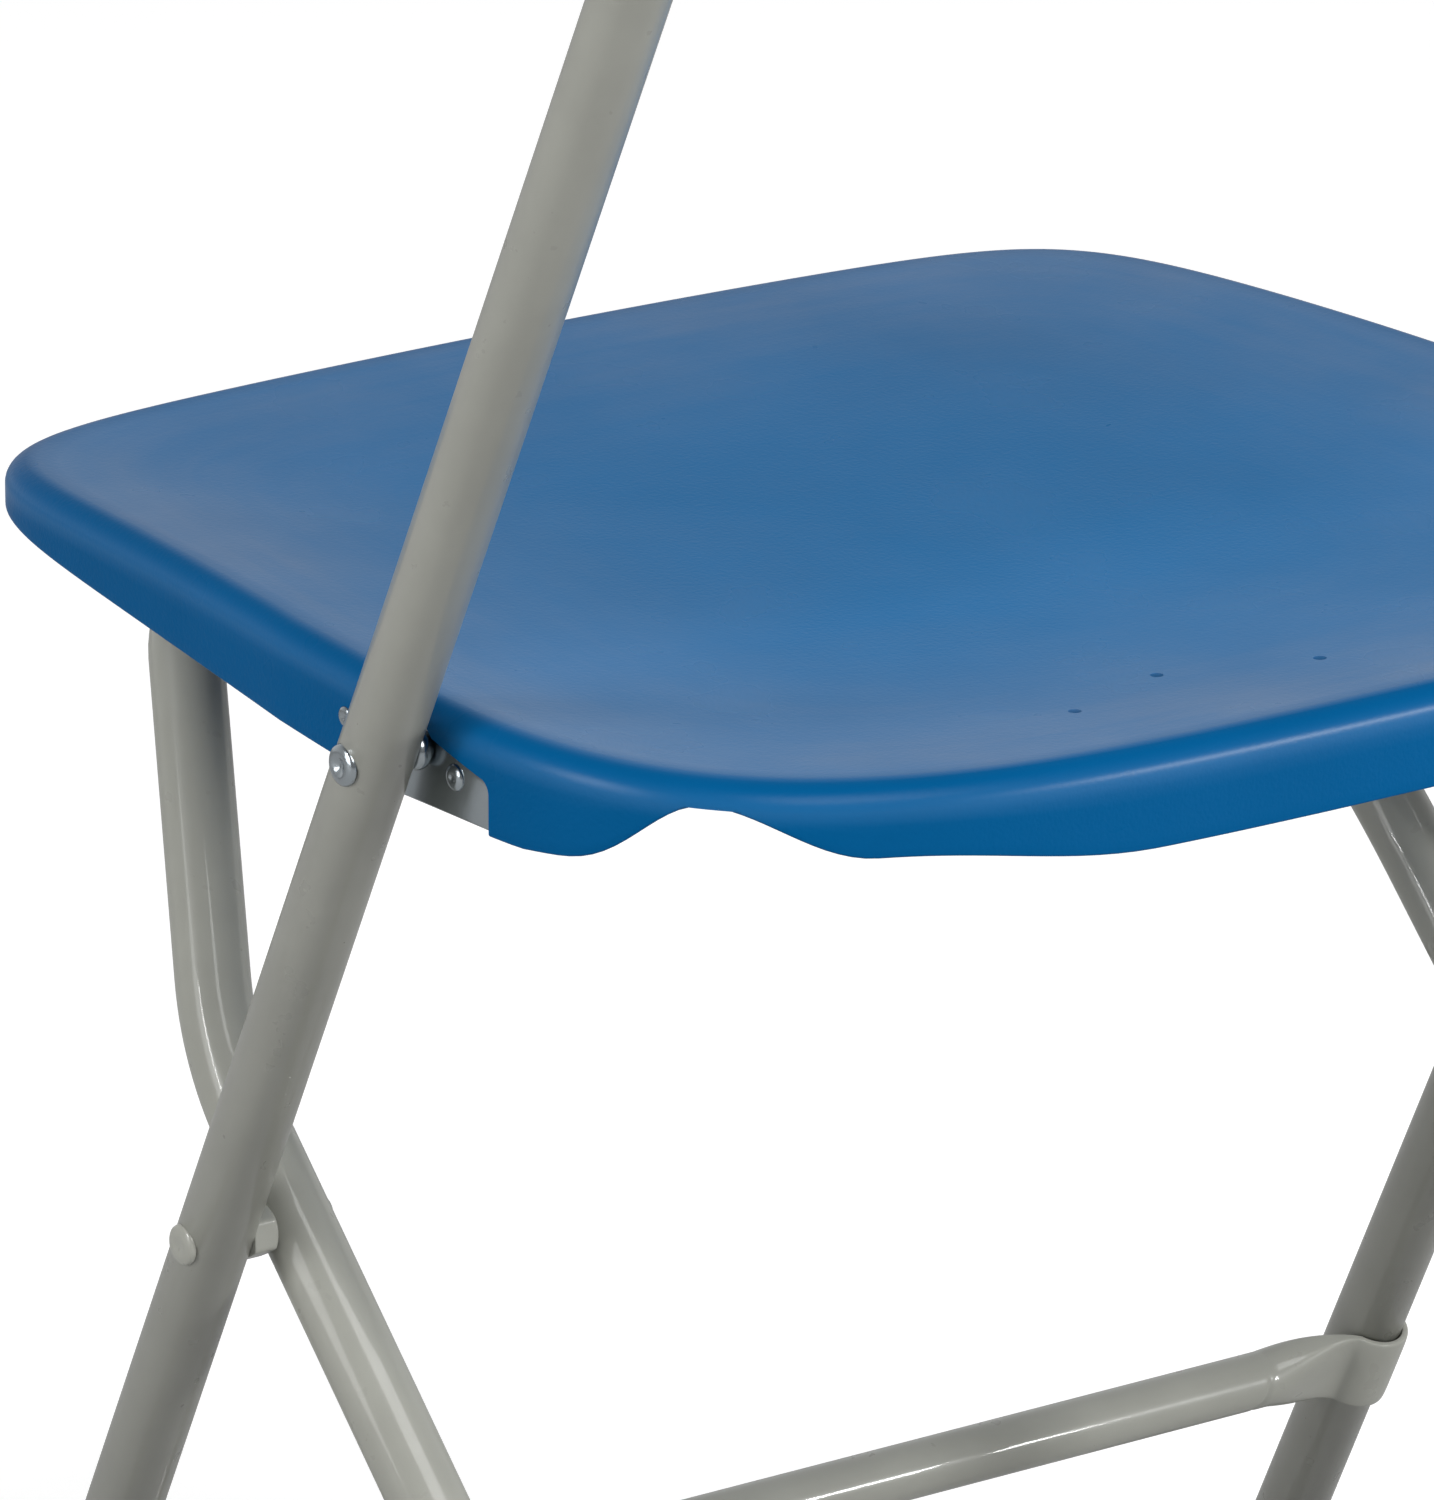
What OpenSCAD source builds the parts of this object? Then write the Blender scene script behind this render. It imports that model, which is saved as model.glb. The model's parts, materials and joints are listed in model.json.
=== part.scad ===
// Plastic folding chair: moulded seat and back on a crossed tube frame.
// Sizes are in millimetres. Z is up, the sitter faces -Y and the left side is +X.

/* [Main frame] */
// Outer diameter of the main and rear frame tubes
tube_d = 20; // [19:0.5:22]
// Wall of the main and rear frame tubes
tube_wall = 1.2; // [1:0.1:1.6]
// Gap between each upright and the middle of the seat's side
side_gap = 5; // [4.5:0.1:6]
// Lean of the uprights from the vertical
lean = 26.7; // [25.5:0.1:27.5]
// Height of the axis of the top tube above the floor
top_z = 792; // [780:2:820]
// Centreline radius of the two top bends
top_bend_r = 60; // [45:1:75]

/* [Rear frame] */
// Height of the leg pivot above the floor
leg_pivot_z = 264; // [258:1:268]
// Lean of the lower rear legs from the vertical
rear_lean = 44.7; // [43:0.1:46]
// Lean of the upper rear legs from the vertical
upper_lean = 32.4; // [31.5:0.1:34]
// Turn of the upper rear legs toward the middle
toe_in = 15.5; // [13:0.5:17]
// Length from the leg pivot up to the leg bend
bend_up = 48; // [44:1:54]
// Centreline radius of the leg bend
leg_bend_r = 130; // [90:5:140]
// Centreline radius of the bends at the top of the rear frame
rear_top_r = 26; // [24:1:32]
// Height of the axis of the rear frame's top tube above the floor
rear_top_z = 404; // [400:1:405]

/* [Leg pivots] */
// Diameter of the leg pivot rivet
leg_rivet_d = 8; // [7:0.5:9]
// Diameter of the leg pivot rivet's head
leg_head_d = 12; // [11:0.5:14]
// Height of the leg pivot rivet's head
leg_head_h = 2.5; // [2:0.5:4]
// Gap between an upright and the rear leg inside it
leg_gap = 5.2; // [4.6:0.2:8]
// Diameter of the collar between the tubes
spacer_d = 15; // [13:0.5:18]

/* [Crossbars] */
// Diameter of the crossbars
bar_d = 16; // [14:0.5:17]
// Wall of the crossbars
bar_wall = 1; // [0.8:0.1:1.4]
// Height of the front crossbar above the floor
front_bar_z = 116.4; // [90:0.2:140]
// Distance of the rear crossbar below the leg pivot, along the leg
rear_bar_down = 215; // [195:1:240]
// Distance of the crossbars' axes behind the axes of the legs
bar_back = 2; // [1:0.5:4]
// Thickness of the flattened bar ends
bar_flat = 2.4; // [2:0.2:3]
// Height of the flattened bar ends along the leg
bar_end_h = 23.5; // [20:0.5:26]
// Distance of the crossbar axes above the middle of their ends
bar_rise = 0.8; // [0:0.1:2]
// Length over which a bar end goes flat
bar_taper = 22; // [16:1:30]

/* [Seat] */
// Width of the seat at its middle
seat_w = 410; // [380:2:440]
// Depth of the seat from front to rear
seat_l = 366; // [352:2:380]
// Distance of the middle of the seat behind the leg pivot
seat_y = 10.2; // [7:0.2:12]
// Height of the seat's rim above the floor, at the middle
seat_z = 429; // [428:0.5:432]
// Fall of the seat toward the rear, in degrees
seat_fall = 2.95; // [2:0.05:3.4]
// Share by which the front of the seat is narrower
front_narrow = 0.085; // [0.05:0.005:0.12]
// Share by which the rear corners are wider
rear_wide = 0.043; // [0.03:0.001:0.06]
// Height by which the rim curves down at the front and rear
rim_curve = 4.7; // [3:0.1:6]
// Height by which the rear corners rise and the front corners drop
corner_turn = 4.8; // [2:0.2:6]
// Depth of the hollow of the seat
dish = 11; // [7:0.5:12]
// Thickness of the seat and skirt
seat_wall = 3; // [2.5:0.1:3.2]
// Radius of the edge between seat and skirt
edge_r = 7; // [5:0.5:7.5]
// Depth of the skirt at the sides
skirt_h = 26; // [24:0.5:27]
// Height of the cut-outs at the rear corners
notch_h = 17.9; // [14:0.1:18]
// Half of the length of a corner cut-out
notch_r = 48; // [42:1:52]
// Diameter of the drain holes
drain_d = 3.6; // [3:0.2:5]

/* [Seat pivots] */
// Height of the seat pivot above the floor
seat_pivot_z = 412; // [410:0.5:414]
// Diameter of the seat pivot rivet
seat_rivet_d = 6; // [5:0.5:7]
// Diameter of the seat pivot rivet's head
seat_head_d = 12; // [10:0.5:13]
// Height of the seat pivot rivet's head
seat_head_h = 2.8; // [2:0.2:3.5]
// Thickness of the pivot bracket
bracket_t = 2; // [1.6:0.2:2.4]
// Distance from the inside of the upright to the bracket
bracket_gap = 5.6; // [5.5:0.1:6]
// Length of the bracket behind the pivot
bracket_back = 28; // [26:1:32]
// Length of the bracket in front of the pivot
bracket_front = 38; // [32:1:44]
// Depth of the bracket below the pivot
bracket_low = 15; // [14:0.5:16]
// Diameter of the small bracket rivets
small_rivet_d = 4; // [3:0.5:5]

/* [Hooks under the seat] */
// Distance of each hook from the middle
hook_x = 92; // [70:1:105]
// Width of a hook
hook_w = 26; // [20:1:32]
// Thickness of a hook
hook_t = 2; // [1.6:0.2:2.6]
// Clearance between hook and tube
hook_gap = 0.4; // [0.3:0.1:0.8]
// Length of the hook's plate behind the tube
hook_plate = 34; // [30:1:40]
// Diameter of the hook screws
screw_d = 3.5; // [3:0.1:4]
// Height of the head of a hook screw
screw_head_h = 2.2; // [1.8:0.1:2.6]

/* [Backrest] */
// Distance of the backrest's side edges inside the axes of the uprights
back_in = 2; // [-2:0.5:5]
// Height of the backrest along the uprights
back_h = 145; // [130:1:150]
// Distance of the backrest's top edge below the top tube's axis
back_drop = 20; // [18:1:30]
// Thickness of the backrest
back_t = 5; // [4:0.5:6]
// Depth of the curve across the backrest
back_curve = 17; // [8:1:20]
// Corner radius of the backrest
back_corner = 28; // [15:1:40]
// Diameter of the backrest rivets
back_rivet_d = 5; // [4:0.5:6]
// Distance of the lower rivets from the backrest's lower edge
back_rivet_low = 22; // [18:1:30]
// Distance of the upper rivets from the backrest's upper edge
back_rivet_high = 48; // [44:1:56]

/* [Feet] */
// Diameter of the foot caps
foot_d = 25; // [24:0.5:28]
// Length of the foot caps
foot_h = 34; // [28:1:42]
// Thickness of a cap under the lowest point of the tube
foot_base = 4; // [3:0.5:6]

/* [Fits] */
// Radial clearance of the pivots
pivot_fit = 0.07; // [0.03:0.01:0.1]
// Gap between parts that pass each other
run_gap = 0.4; // [0.3:0.1:0.6]
// Gap round parts that are fixed together
fixed_fit = 0.05; // [0.02:0.01:0.1]

/* [Hidden] */
$fn = 64;

paint = [0.57, 0.57, 0.54];
blue = [0.07, 0.30, 0.58];
zinc = [0.78, 0.80, 0.82];
grey = [0.36, 0.36, 0.35];

// The frame stands round the seat, and the backrest spans the frame.
frame_w = seat_w + 2 * side_gap + tube_d;
back_w = frame_w - 2 * back_in;

tube_r = tube_d / 2;
bore_r = tube_r - tube_wall;
up_x = frame_w / 2;
leg_x = up_x - tube_d - leg_gap;
bar_r = bar_d / 2;

// Place of a point of the main frame: x, way up the upright from the floor, way to the front.
main_foot_y = -leg_pivot_z * tan(lean);
function main_pt(x, s, m) = [
    x,
    main_foot_y + s * sin(lean) - m * cos(lean),
    s * cos(lean) + m * sin(lean)
];
function on_main(z) = main_foot_y + z * tan(lean);

// Place of a point of the rear legs: way down the leg from the pivot.
function rear_pt(x, d) = [x, d * sin(rear_lean), leg_pivot_z - d * cos(rear_lean)];

seat_pivot_y = on_main(seat_pivot_z);
top_s = top_z / cos(lean);
front_bar_s = front_bar_z / cos(lean);
main_end_s = (foot_base + tube_r * sin(lean)) / cos(lean);
rear_end_d = (leg_pivot_z - foot_base - tube_r * sin(rear_lean)) / cos(rear_lean);
rear_floor_d = leg_pivot_z / cos(rear_lean);

// Corners of the rear frame on the left side.
bend_pt = rear_pt(leg_x, -bend_up);
upper_h = rear_top_z - bend_pt[2];
rear_top_y = bend_pt[1] - upper_h * tan(upper_lean);
rear_top_x = leg_x - upper_h / cos(upper_lean) * tan(toe_in);

// The chair stands with its box centred on the origin.
back_y = on_main(top_z) + tube_r;
heel_y = rear_floor_d * sin(rear_lean) + foot_d / 2 / cos(rear_lean);
front_y = seat_y - seat_l / 2;
mid_y = (max(back_y, heel_y) + front_y) / 2;
module place() {
    translate([0, -mid_y, 0])
        children();
}

// The bracket plate stands inside the skirt, at these two planes.
plate_out = up_x - tube_r - bracket_gap;
plate_in = plate_out - bracket_t;

// Plan of the seat: half width, half depth and the powers of its front and rear curves.
seat_a = seat_w / 2;
seat_b = seat_l / 2;
front_n = 9.1;
rear_n = 4;

// Bracket rivets, counted from the seat pivot. The front one also goes through the skirt.
rivet_places = [
    [-bracket_front + 1.5 * small_rivet_d, 0.5],
    [bracket_back - bracket_low, -0.3 * bracket_low]
];
front_rivet_y = seat_pivot_y + rivet_places[0][0];
small_head_r = small_rivet_d * 0.9;
skirt_out = edge_x(front_rivet_y + small_head_r);

// Radius of the washer between a bracket and its upright.
washer_r = seat_rivet_d * 7 / 6;

function unit(v) = v / norm(v);
// Lengths and turns of the tubes are kept to two decimals, as on a drawing.
function r2(v) = round(v * 100) / 100;
// Tangent length of a bend.
function cut(turn, r) = r * tan(turn / 2);

// Bends are a little fuller than straights, and the straights reach a little way into them.
full = 0.06;
lap = 0.6;

// A straight length of tube along Z, with what follows it at its end.
module run(h, into = lap, onto = lap) {
    difference() {
        translate([0, 0, -into])
            cylinder(r = tube_r, h = h + into + onto);
        translate([0, 0, -into - 1])
            cylinder(r = bore_r, h = h + into + onto + 2);
    }
    translate([0, 0, h])
        children();
}

// A bend of the tube from Z toward X, with what follows it at its end.
module bend(turn, rad) {
    translate([rad, 0, 0]) {
        rotate([90, 0, 180])
            rotate_extrude(angle = turn)
                translate([rad, 0])
                    difference() {
                        circle(r = tube_r + full);
                        circle(r = bore_r - full);
                    }
        rotate([0, turn, 0])
            translate([-rad, 0, 0])
                children();
    }
}

// A round bar from p to q.
module bar_between(p, q, r) {
    v = q - p;
    translate(p)
        rotate([0, acos(v[2] / norm(v)), atan2(v[1], v[0])])
            cylinder(r = r, h = norm(v));
}

// A rod along X between two planes.
module rod_x(x0, x1, y, z, r) {
    translate([x0, y, z])
        rotate([0, 90, 0])
            cylinder(r = r, h = x1 - x0);
}

// A dome of radius r and height h that rises along +X from a plane.
module dome_x(x, y, z, r, h) {
    ball = (r * r + h * h) / (2 * h);
    translate([x, y, z])
        rotate([0, 90, 0])
            rotate_extrude()
                intersection() {
                    translate([0, h - ball])
                        circle(r = ball, $fn = 96);
                    square([r, h]);
                }
}

// The top tube and upright of the left side.
module main_half() {
    translate([0, 0, r2(top_s)])
        rotate([0, 90, 0])
            run(r2(up_x - top_bend_r), 0)
                bend(90, top_bend_r)
                    run(r2(top_s - top_bend_r - main_end_s), lap, 0);
}

module main_frame() {
    color(paint)
        place()
            difference() {
                translate([0, main_foot_y, 0])
                    rotate([-lean, 0, 0])
                        union() {
                            main_half();
                            mirror([1, 0, 0])
                                main_half();
                        }
                for (k = [-1, 1]) {
                    rod_x(k * up_x - tube_r - 1, k * up_x + tube_r + 1,
                        0, leg_pivot_z, leg_rivet_d / 2 + fixed_fit);
                    rod_x(k * up_x - tube_r - 1, k * up_x + tube_r + 1,
                        seat_pivot_y, seat_pivot_z, seat_rivet_d / 2 + fixed_fit);
                }
                for (k = [-1, 1], s = back_rivet_s)
                    across_main(k * up_x, s, back_rivet_d / 2 + fixed_fit,
                        -tube_r - 1, tube_r + 1);
            }
}

// A rod through the main frame from its rear side (m0) to its front side (m1).
module across_main(x, s, r, m0, m1) {
    bar_between(main_pt(x, s, m0), main_pt(x, s, m1), r);
}

// Directions of the rear frame's left side: top tube, upper leg and lower leg.
dir_top = [1, 0, 0];
dir_up = unit(bend_pt - [rear_top_x, rear_top_y, rear_top_z]);
dir_low = [0, sin(rear_lean), -cos(rear_lean)];
side_up = unit(dir_up - dir_top * (dir_top * dir_up));
side_low = unit(dir_low - dir_up * (dir_up * dir_low));
turn_up = r2(acos(dir_top * dir_up));
turn_low = r2(acos(dir_up * dir_low));
roll_up = r2(atan2(side_up[1], -side_up[2]));
axis_x = side_up * cos(turn_up) - dir_top * sin(turn_up);
roll_low = r2(atan2(side_low * cross(dir_up, axis_x), side_low * axis_x));
upper_len = norm(bend_pt - [rear_top_x, rear_top_y, rear_top_z]);

module rear_half() {
    translate([0, r2(rear_top_y), rear_top_z])
        rotate([0, 90, 0])
            run(r2(rear_top_x - cut(turn_up, rear_top_r)), 0)
                rotate([0, 0, roll_up])
                    bend(turn_up, rear_top_r)
                        run(r2(upper_len - cut(turn_up, rear_top_r) - cut(turn_low, leg_bend_r)))
                            rotate([0, 0, roll_low])
                                bend(turn_low, leg_bend_r)
                                    run(r2(rear_end_d + bend_up - cut(turn_low, leg_bend_r)), lap, 0);
}

module rear_frame() {
    color(paint)
        place()
            difference() {
                union() {
                    rear_half();
                    mirror([1, 0, 0])
                        rear_half();
                }
                for (k = [-1, 1])
                    rod_x(k * leg_x - tube_r - 1, k * leg_x + tube_r + 1,
                        0, leg_pivot_z, leg_rivet_d / 2 + pivot_fit);
            }
}

// A crossbar between legs at x = +-side: round in the middle, flat at the ends, with a saddle
// round the rear half of each leg. Here the legs run along Z and the rear is +Y.
module crossbar(side) {
    flat_x = side - tube_r * 0.55;
    round_x = flat_x - bar_taper;
    saddle_r = tube_r + bar_flat;
    difference() {
        rod_x(-round_x, round_x, bar_back, bar_rise, bar_r);
        rod_x(-round_x - 1, round_x + 1, bar_back, bar_rise, bar_r - bar_wall);
    }
    for (k = [-1, 1]) {
        difference() {
            hull() {
                rod_x(k * round_x - 1, k * round_x + 1, bar_back, bar_rise, bar_r * 1.008, $fn = 32);
                translate([k * flat_x - 0.1, tube_r, -bar_end_h / 2 + 0.3])
                    cube([0.2, bar_flat - 0.1, bar_end_h - 0.6]);
            }
            translate([k * side, 0, -bar_end_h])
                cylinder(r = tube_r + fixed_fit, h = 2 * bar_end_h);
        }
        difference() {
            translate([k * side, 0, -bar_end_h / 2])
                cylinder(r = saddle_r, h = bar_end_h);
            translate([k * side, 0, -bar_end_h])
                cylinder(r = tube_r + fixed_fit, h = 2 * bar_end_h);
            translate([k * side - 2 * tube_r, -2 * tube_r, -bar_end_h])
                cube([4 * tube_r, 2 * tube_r, 2 * bar_end_h]);
            translate([k * (side + saddle_r), 0, -bar_end_h / 2])
                rotate([45, 0, 0])
                    cube(bar_flat * 3.2, center = true);
        }
    }
}

module front_crossbar() {
    color(paint)
        place()
            translate(main_pt(0, front_bar_s, 0))
                rotate([-lean, 0, 0])
                    crossbar(up_x);
}

module rear_crossbar() {
    color(paint)
        place()
            translate(rear_pt(0, rear_bar_down))
                rotate([rear_lean, 0, 0])
                    crossbar(leg_x);
}

// Rivet of a leg pivot on the left side: painted dome outside, formed head inside.
module leg_rivet() {
    inner = leg_x - tube_r - run_gap;
    dome_x(up_x + tube_r - 0.6, 0, leg_pivot_z, leg_head_d / 2, leg_head_h);
    rod_x(inner - 0.1, up_x + tube_r, 0, leg_pivot_z, leg_rivet_d / 2);
    mirror([1, 0, 0])
        dome_x(-inner, 0, leg_pivot_z, leg_rivet_d * 0.6, leg_head_h * 0.4);
}

module leg_pivot_rivet_left() {
    color(paint)
        place()
            cut_by_upright(leg_head_d)
                leg_rivet();
}

module leg_pivot_rivet_right() {
    mirror([1, 0, 0])
        leg_pivot_rivet_left();
}

// Takes the wall of the left upright out of a rivet's head, but leaves its shank.
module cut_by_upright(wide) {
    difference() {
        children();
        difference() {
            bar_between(main_pt(up_x, 0, 0), main_pt(up_x, top_s, 0), tube_r);
            for (p = [[0, leg_pivot_z, leg_rivet_d], [seat_pivot_y, seat_pivot_z, seat_rivet_d]])
                rod_x(up_x - tube_d, up_x + tube_d, p[0], p[1], (p[2] + fixed_fit) / 2);
        }
    }
}

// Collar between the tubes at a leg pivot, seated on the upright.
module leg_pivot_spacer_left() {
    x0 = leg_x + tube_r + run_gap;
    color(paint)
        place()
            difference() {
                rod_x(x0, up_x - tube_r + 3, 0, leg_pivot_z, spacer_d / 2);
                rod_x(x0 - 1, up_x, 0, leg_pivot_z, leg_rivet_d / 2 + fixed_fit);
                bar_between(main_pt(up_x, 0, 0), main_pt(up_x, top_s, 0), tube_r);
            }
}

module leg_pivot_spacer_right() {
    mirror([1, 0, 0])
        leg_pivot_spacer_left();
}

module seat_pivot_rivet_left() {
    inner = plate_in - run_gap;
    color(zinc)
        place()
            cut_by_upright(seat_head_d)
                union() {
                    dome_x(up_x + tube_r - 0.7, seat_pivot_y, seat_pivot_z,
                        seat_head_d / 2, seat_head_h);
                    rod_x(inner - 0.1, up_x + tube_r, seat_pivot_y, seat_pivot_z,
                        seat_rivet_d / 2);
                    mirror([1, 0, 0])
                        dome_x(-inner, seat_pivot_y, seat_pivot_z, seat_head_d / 2 - 1, 2);
                }
}

module seat_pivot_rivet_right() {
    mirror([1, 0, 0])
        seat_pivot_rivet_left();
}

module seat_pivot_washer_left() {
    x0 = plate_out + run_gap;
    color(zinc)
        place()
            difference() {
                rod_x(x0, up_x - tube_r + 2, seat_pivot_y, seat_pivot_z, washer_r);
                rod_x(x0 - 1, up_x, seat_pivot_y, seat_pivot_z, seat_rivet_d / 2 + fixed_fit);
                bar_between(main_pt(up_x, 0, 0), main_pt(up_x, top_s, 0), tube_r);
            }
}

module seat_pivot_washer_right() {
    mirror([1, 0, 0])
        seat_pivot_washer_left();
}

// Side view of the bracket about the seat pivot, grown by g.
module bracket_outline(g = 0) {
    back = bracket_back + g;
    front = -bracket_front - g;
    low = -bracket_low - g;
    high = washer_r + g;
    round_r = 3 + g;
    difference() {
        union() {
            polygon([
                [front, -8 - g], [-12, low], [back, low], [back, -6], [back - 3.5, -1.2 + g],
                [1, high - 2], [-8, high + 0.3], [front, high - 1]
            ]);
            translate([back - round_r, -5])
                circle(r = round_r, $fn = 32);
        }
        polygon([[back - 3.5, -1.2 + g], [back + 9, -5], [back + 9, 20], [back - 3.5, 20]]);
    }
}

module seat_bracket_left() {
    color(zinc)
        place()
            difference() {
                translate([plate_in, seat_pivot_y, seat_pivot_z])
                    rotate([90, 0, 90])
                        linear_extrude(bracket_t)
                            bracket_outline();
                rod_x(plate_in - 1, plate_out + 1, seat_pivot_y, seat_pivot_z,
                    seat_rivet_d / 2 + pivot_fit);
                for (p = rivet_places)
                    rod_x(plate_in - 1, plate_out + 1, seat_pivot_y + p[0], seat_pivot_z + p[1],
                        small_rivet_d / 2 + fixed_fit);
            }
}

module seat_bracket_right() {
    mirror([1, 0, 0])
        seat_bracket_left();
}

module bracket_rivets() {
    color(zinc)
        place()
            for (k = [0, 1])
                mirror([k, 0, 0]) {
                    small_rivet(plate_in, skirt_out, rivet_places[0]);
                    small_rivet(plate_in - rivet_boss, plate_out, rivet_places[1]);
                }
}

module small_rivet(x0, x1, p) {
    y = seat_pivot_y + p[0];
    z = seat_pivot_z + p[1];
    rod_x(x0 - 0.1, x1 + 0.1, y, z, small_rivet_d / 2);
    dome_x(x1 + 0.05, y, z, small_head_r, 1.5);
    mirror([1, 0, 0])
        dome_x(-x0 + 0.05, y, z, small_rivet_d / 2 + 1.3, 1.2);
}

function plan_n(a) = sin(a) > 0 ? rear_n : front_n;
function reach(a) = pow(pow(abs(cos(a)), plan_n(a)) + pow(abs(sin(a)), plan_n(a)), -1 / plan_n(a));
function plan_y(a) = sin(a) * reach(a);
function widen(v) = 1 + v * (v < 0 ? front_narrow : rear_wide);
function plan_x(a) = cos(a) * reach(a) * widen(plan_y(a));
// A point of the seat's plan for the angle a, moved in by an inset.
function plan(a, inset) = [
    (seat_a - inset) * plan_x(a),
    seat_y + (seat_b - inset) * plan_y(a)
];
// Half width of the skirt's outside at a place y in the rear half.
function edge_x(y) =
    let (v = (y - seat_y) / seat_b)
    seat_a * pow(1 - pow(v, rear_n), 1 / rear_n) * widen(v);
// Height of the rim's top at a place.
function rim_z(x, y) =
    let (u = x / seat_a, v = (y - seat_y) / seat_b)
    seat_z - (y - seat_y) * tan(seat_fall) - rim_curve * v * v + corner_turn * u * u * v * abs(v);
// Height of the edge's top for the angle a.
function edge_z(a) = let (p = plan(a, edge_r)) rim_z(p[0], p[1]);
// Height of the skirt's lower edge for the angle a. A cut-out ends below the rounded edge.
notch_pt = plan(42.8, 0);
function bump(d, r) = d < r ? (1 + cos(180 * d / r)) / 2 : 0;
function skirt_z(a) =
    let (p = plan(a, 0), v = plan_y(a), q = [abs(p[0]), p[1]] - notch_pt)
    min(
        edge_z(a) - edge_r - 0.2,
        rim_z(p[0], p[1]) - skirt_h * (1 + 0.3 * v - 0.3 * v * v)
            + notch_h * bump(norm(q), notch_r)
            - notch_h * 0.326 * bump(norm(q - notch_r * [0.17, -0.36]), notch_r * 0.53)
            + notch_h * 0.455 * bump(norm(q + notch_r * [0.952, -0.265]), notch_r * 1.667)
    );
// Height of the seat's top for the angle a and the share s of the way out.
function top_z_at(a, s) =
    let (p = plan(a, edge_r))
    rim_z(p[0] * s, p[1] * s + seat_y * (1 - s)) - dish * (1 - pow(s, 2.3));

seat_steps = 112;
function turn(i) = let (t = 360 * i / seat_steps) t + 6 * sin(4 * t);
shares = [0.16, 0.34, 0.52, 0.68, 0.81, 0.91, 1];
edge_turns = [22, 45, 68, 90];
function ring_top(s) = [for (i = [0:seat_steps - 1])
    let (a = turn(i), p = plan(a, edge_r))
    [p[0] * s, seat_y + (p[1] - seat_y) * s, top_z_at(a, s)]];
function ring_edge(t) = [for (i = [0:seat_steps - 1])
    let (a = turn(i), p = plan(a, edge_r * (1 - sin(t))))
    [p[0], p[1], edge_z(a) - edge_r * (1 - cos(t))]];
function ring_low(inset) = [for (i = [0:seat_steps - 1])
    let (a = turn(i), p = plan(a, inset))
    [p[0], p[1], skirt_z(a)]];
function ring_under(s) = [for (i = [0:seat_steps - 1])
    let (a = turn(i), p = plan(a, edge_r))
    [p[0] * s, seat_y + (p[1] - seat_y) * s, top_z_at(a, s) - seat_wall]];
function ring_inner() = [for (i = [0:seat_steps - 1])
    let (a = turn(i), p = plan(a, seat_wall))
    [p[0], p[1], edge_z(a) - edge_r]];

module shell_solid() {
    rings = concat(
        [for (s = shares) ring_top(s)],
        [for (t = edge_turns) ring_edge(t)],
        [ring_low(0), ring_low(seat_wall), ring_inner()],
        [for (i = [len(shares) - 1:-1:0]) ring_under(shares[i])]
    );
    m = len(rings);
    pts = concat(
        [for (r = rings) each r],
        [[0, seat_y, seat_z - dish], [0, seat_y, seat_z - dish - seat_wall]]
    );
    faces = concat(
        [for (j = [0:m - 2], i = [0:seat_steps - 1])
            let (n = (i + 1) % seat_steps)
            each [
                [j * seat_steps + i, (j + 1) * seat_steps + n, (j + 1) * seat_steps + i],
                [j * seat_steps + i, j * seat_steps + n, (j + 1) * seat_steps + n]
            ]],
        [for (i = [0:seat_steps - 1]) [m * seat_steps, (i + 1) % seat_steps, i]],
        [for (i = [0:seat_steps - 1])
            [m * seat_steps + 1, (m - 1) * seat_steps + i,
                (m - 1) * seat_steps + (i + 1) % seat_steps]]
    );
    polyhedron(pts, faces, convexity = 6);
}

// Three drain holes lie near the rear, the middle one further in.
drain_in = seat_y + seat_b * 0.71;
drain_out = seat_y + seat_b * 0.783;
drains = [[seat_a * 0.294, drain_out], [seat_a * 0.115, drain_in], [-seat_a * 0.092, drain_out]];
// Bosses for the hooks, counted from the rear frame's top tube.
screw_y = [hook_plate - 6, hook_plate - 20];
plate_z = rear_top_z + tube_r + hook_gap;
boss_h = screw_d * 10 / 7;
boss_r = screw_d * 11 / 7;
screw_hole_r = screw_d / 2 + fixed_fit;
rivet_boss = small_rivet_d * 1.25;
boss_side = small_rivet_d * 3;

module seat_shell() {
    color(blue)
        place()
            difference() {
                union() {
                    shell_solid();
                    for (k = [-1, 1], y = screw_y)
                        translate([k * hook_x, rear_top_y + y, plate_z + hook_t])
                            cylinder(r = boss_r, h = boss_h, $fn = 32);
                    for (k = [0, 1])
                        mirror([k, 0, 0]) {
                            translate([
                                plate_in - rivet_boss,
                                seat_pivot_y + rivet_places[1][0] - boss_side / 2,
                                seat_pivot_z + rivet_places[1][1] - boss_side / 2
                            ])
                                cube([rivet_boss, boss_side, boss_side]);
                        }
                }
                for (k = [0, 1])
                    mirror([k, 0, 0])
                        seat_cuts();
                for (p = drains)
                    translate([p[0], p[1], rim_z(p[0], p[1]) - 2 * dish])
                        cylinder(r = drain_d / 2, h = 3 * dish, $fn = 24);
            }
}

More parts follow.
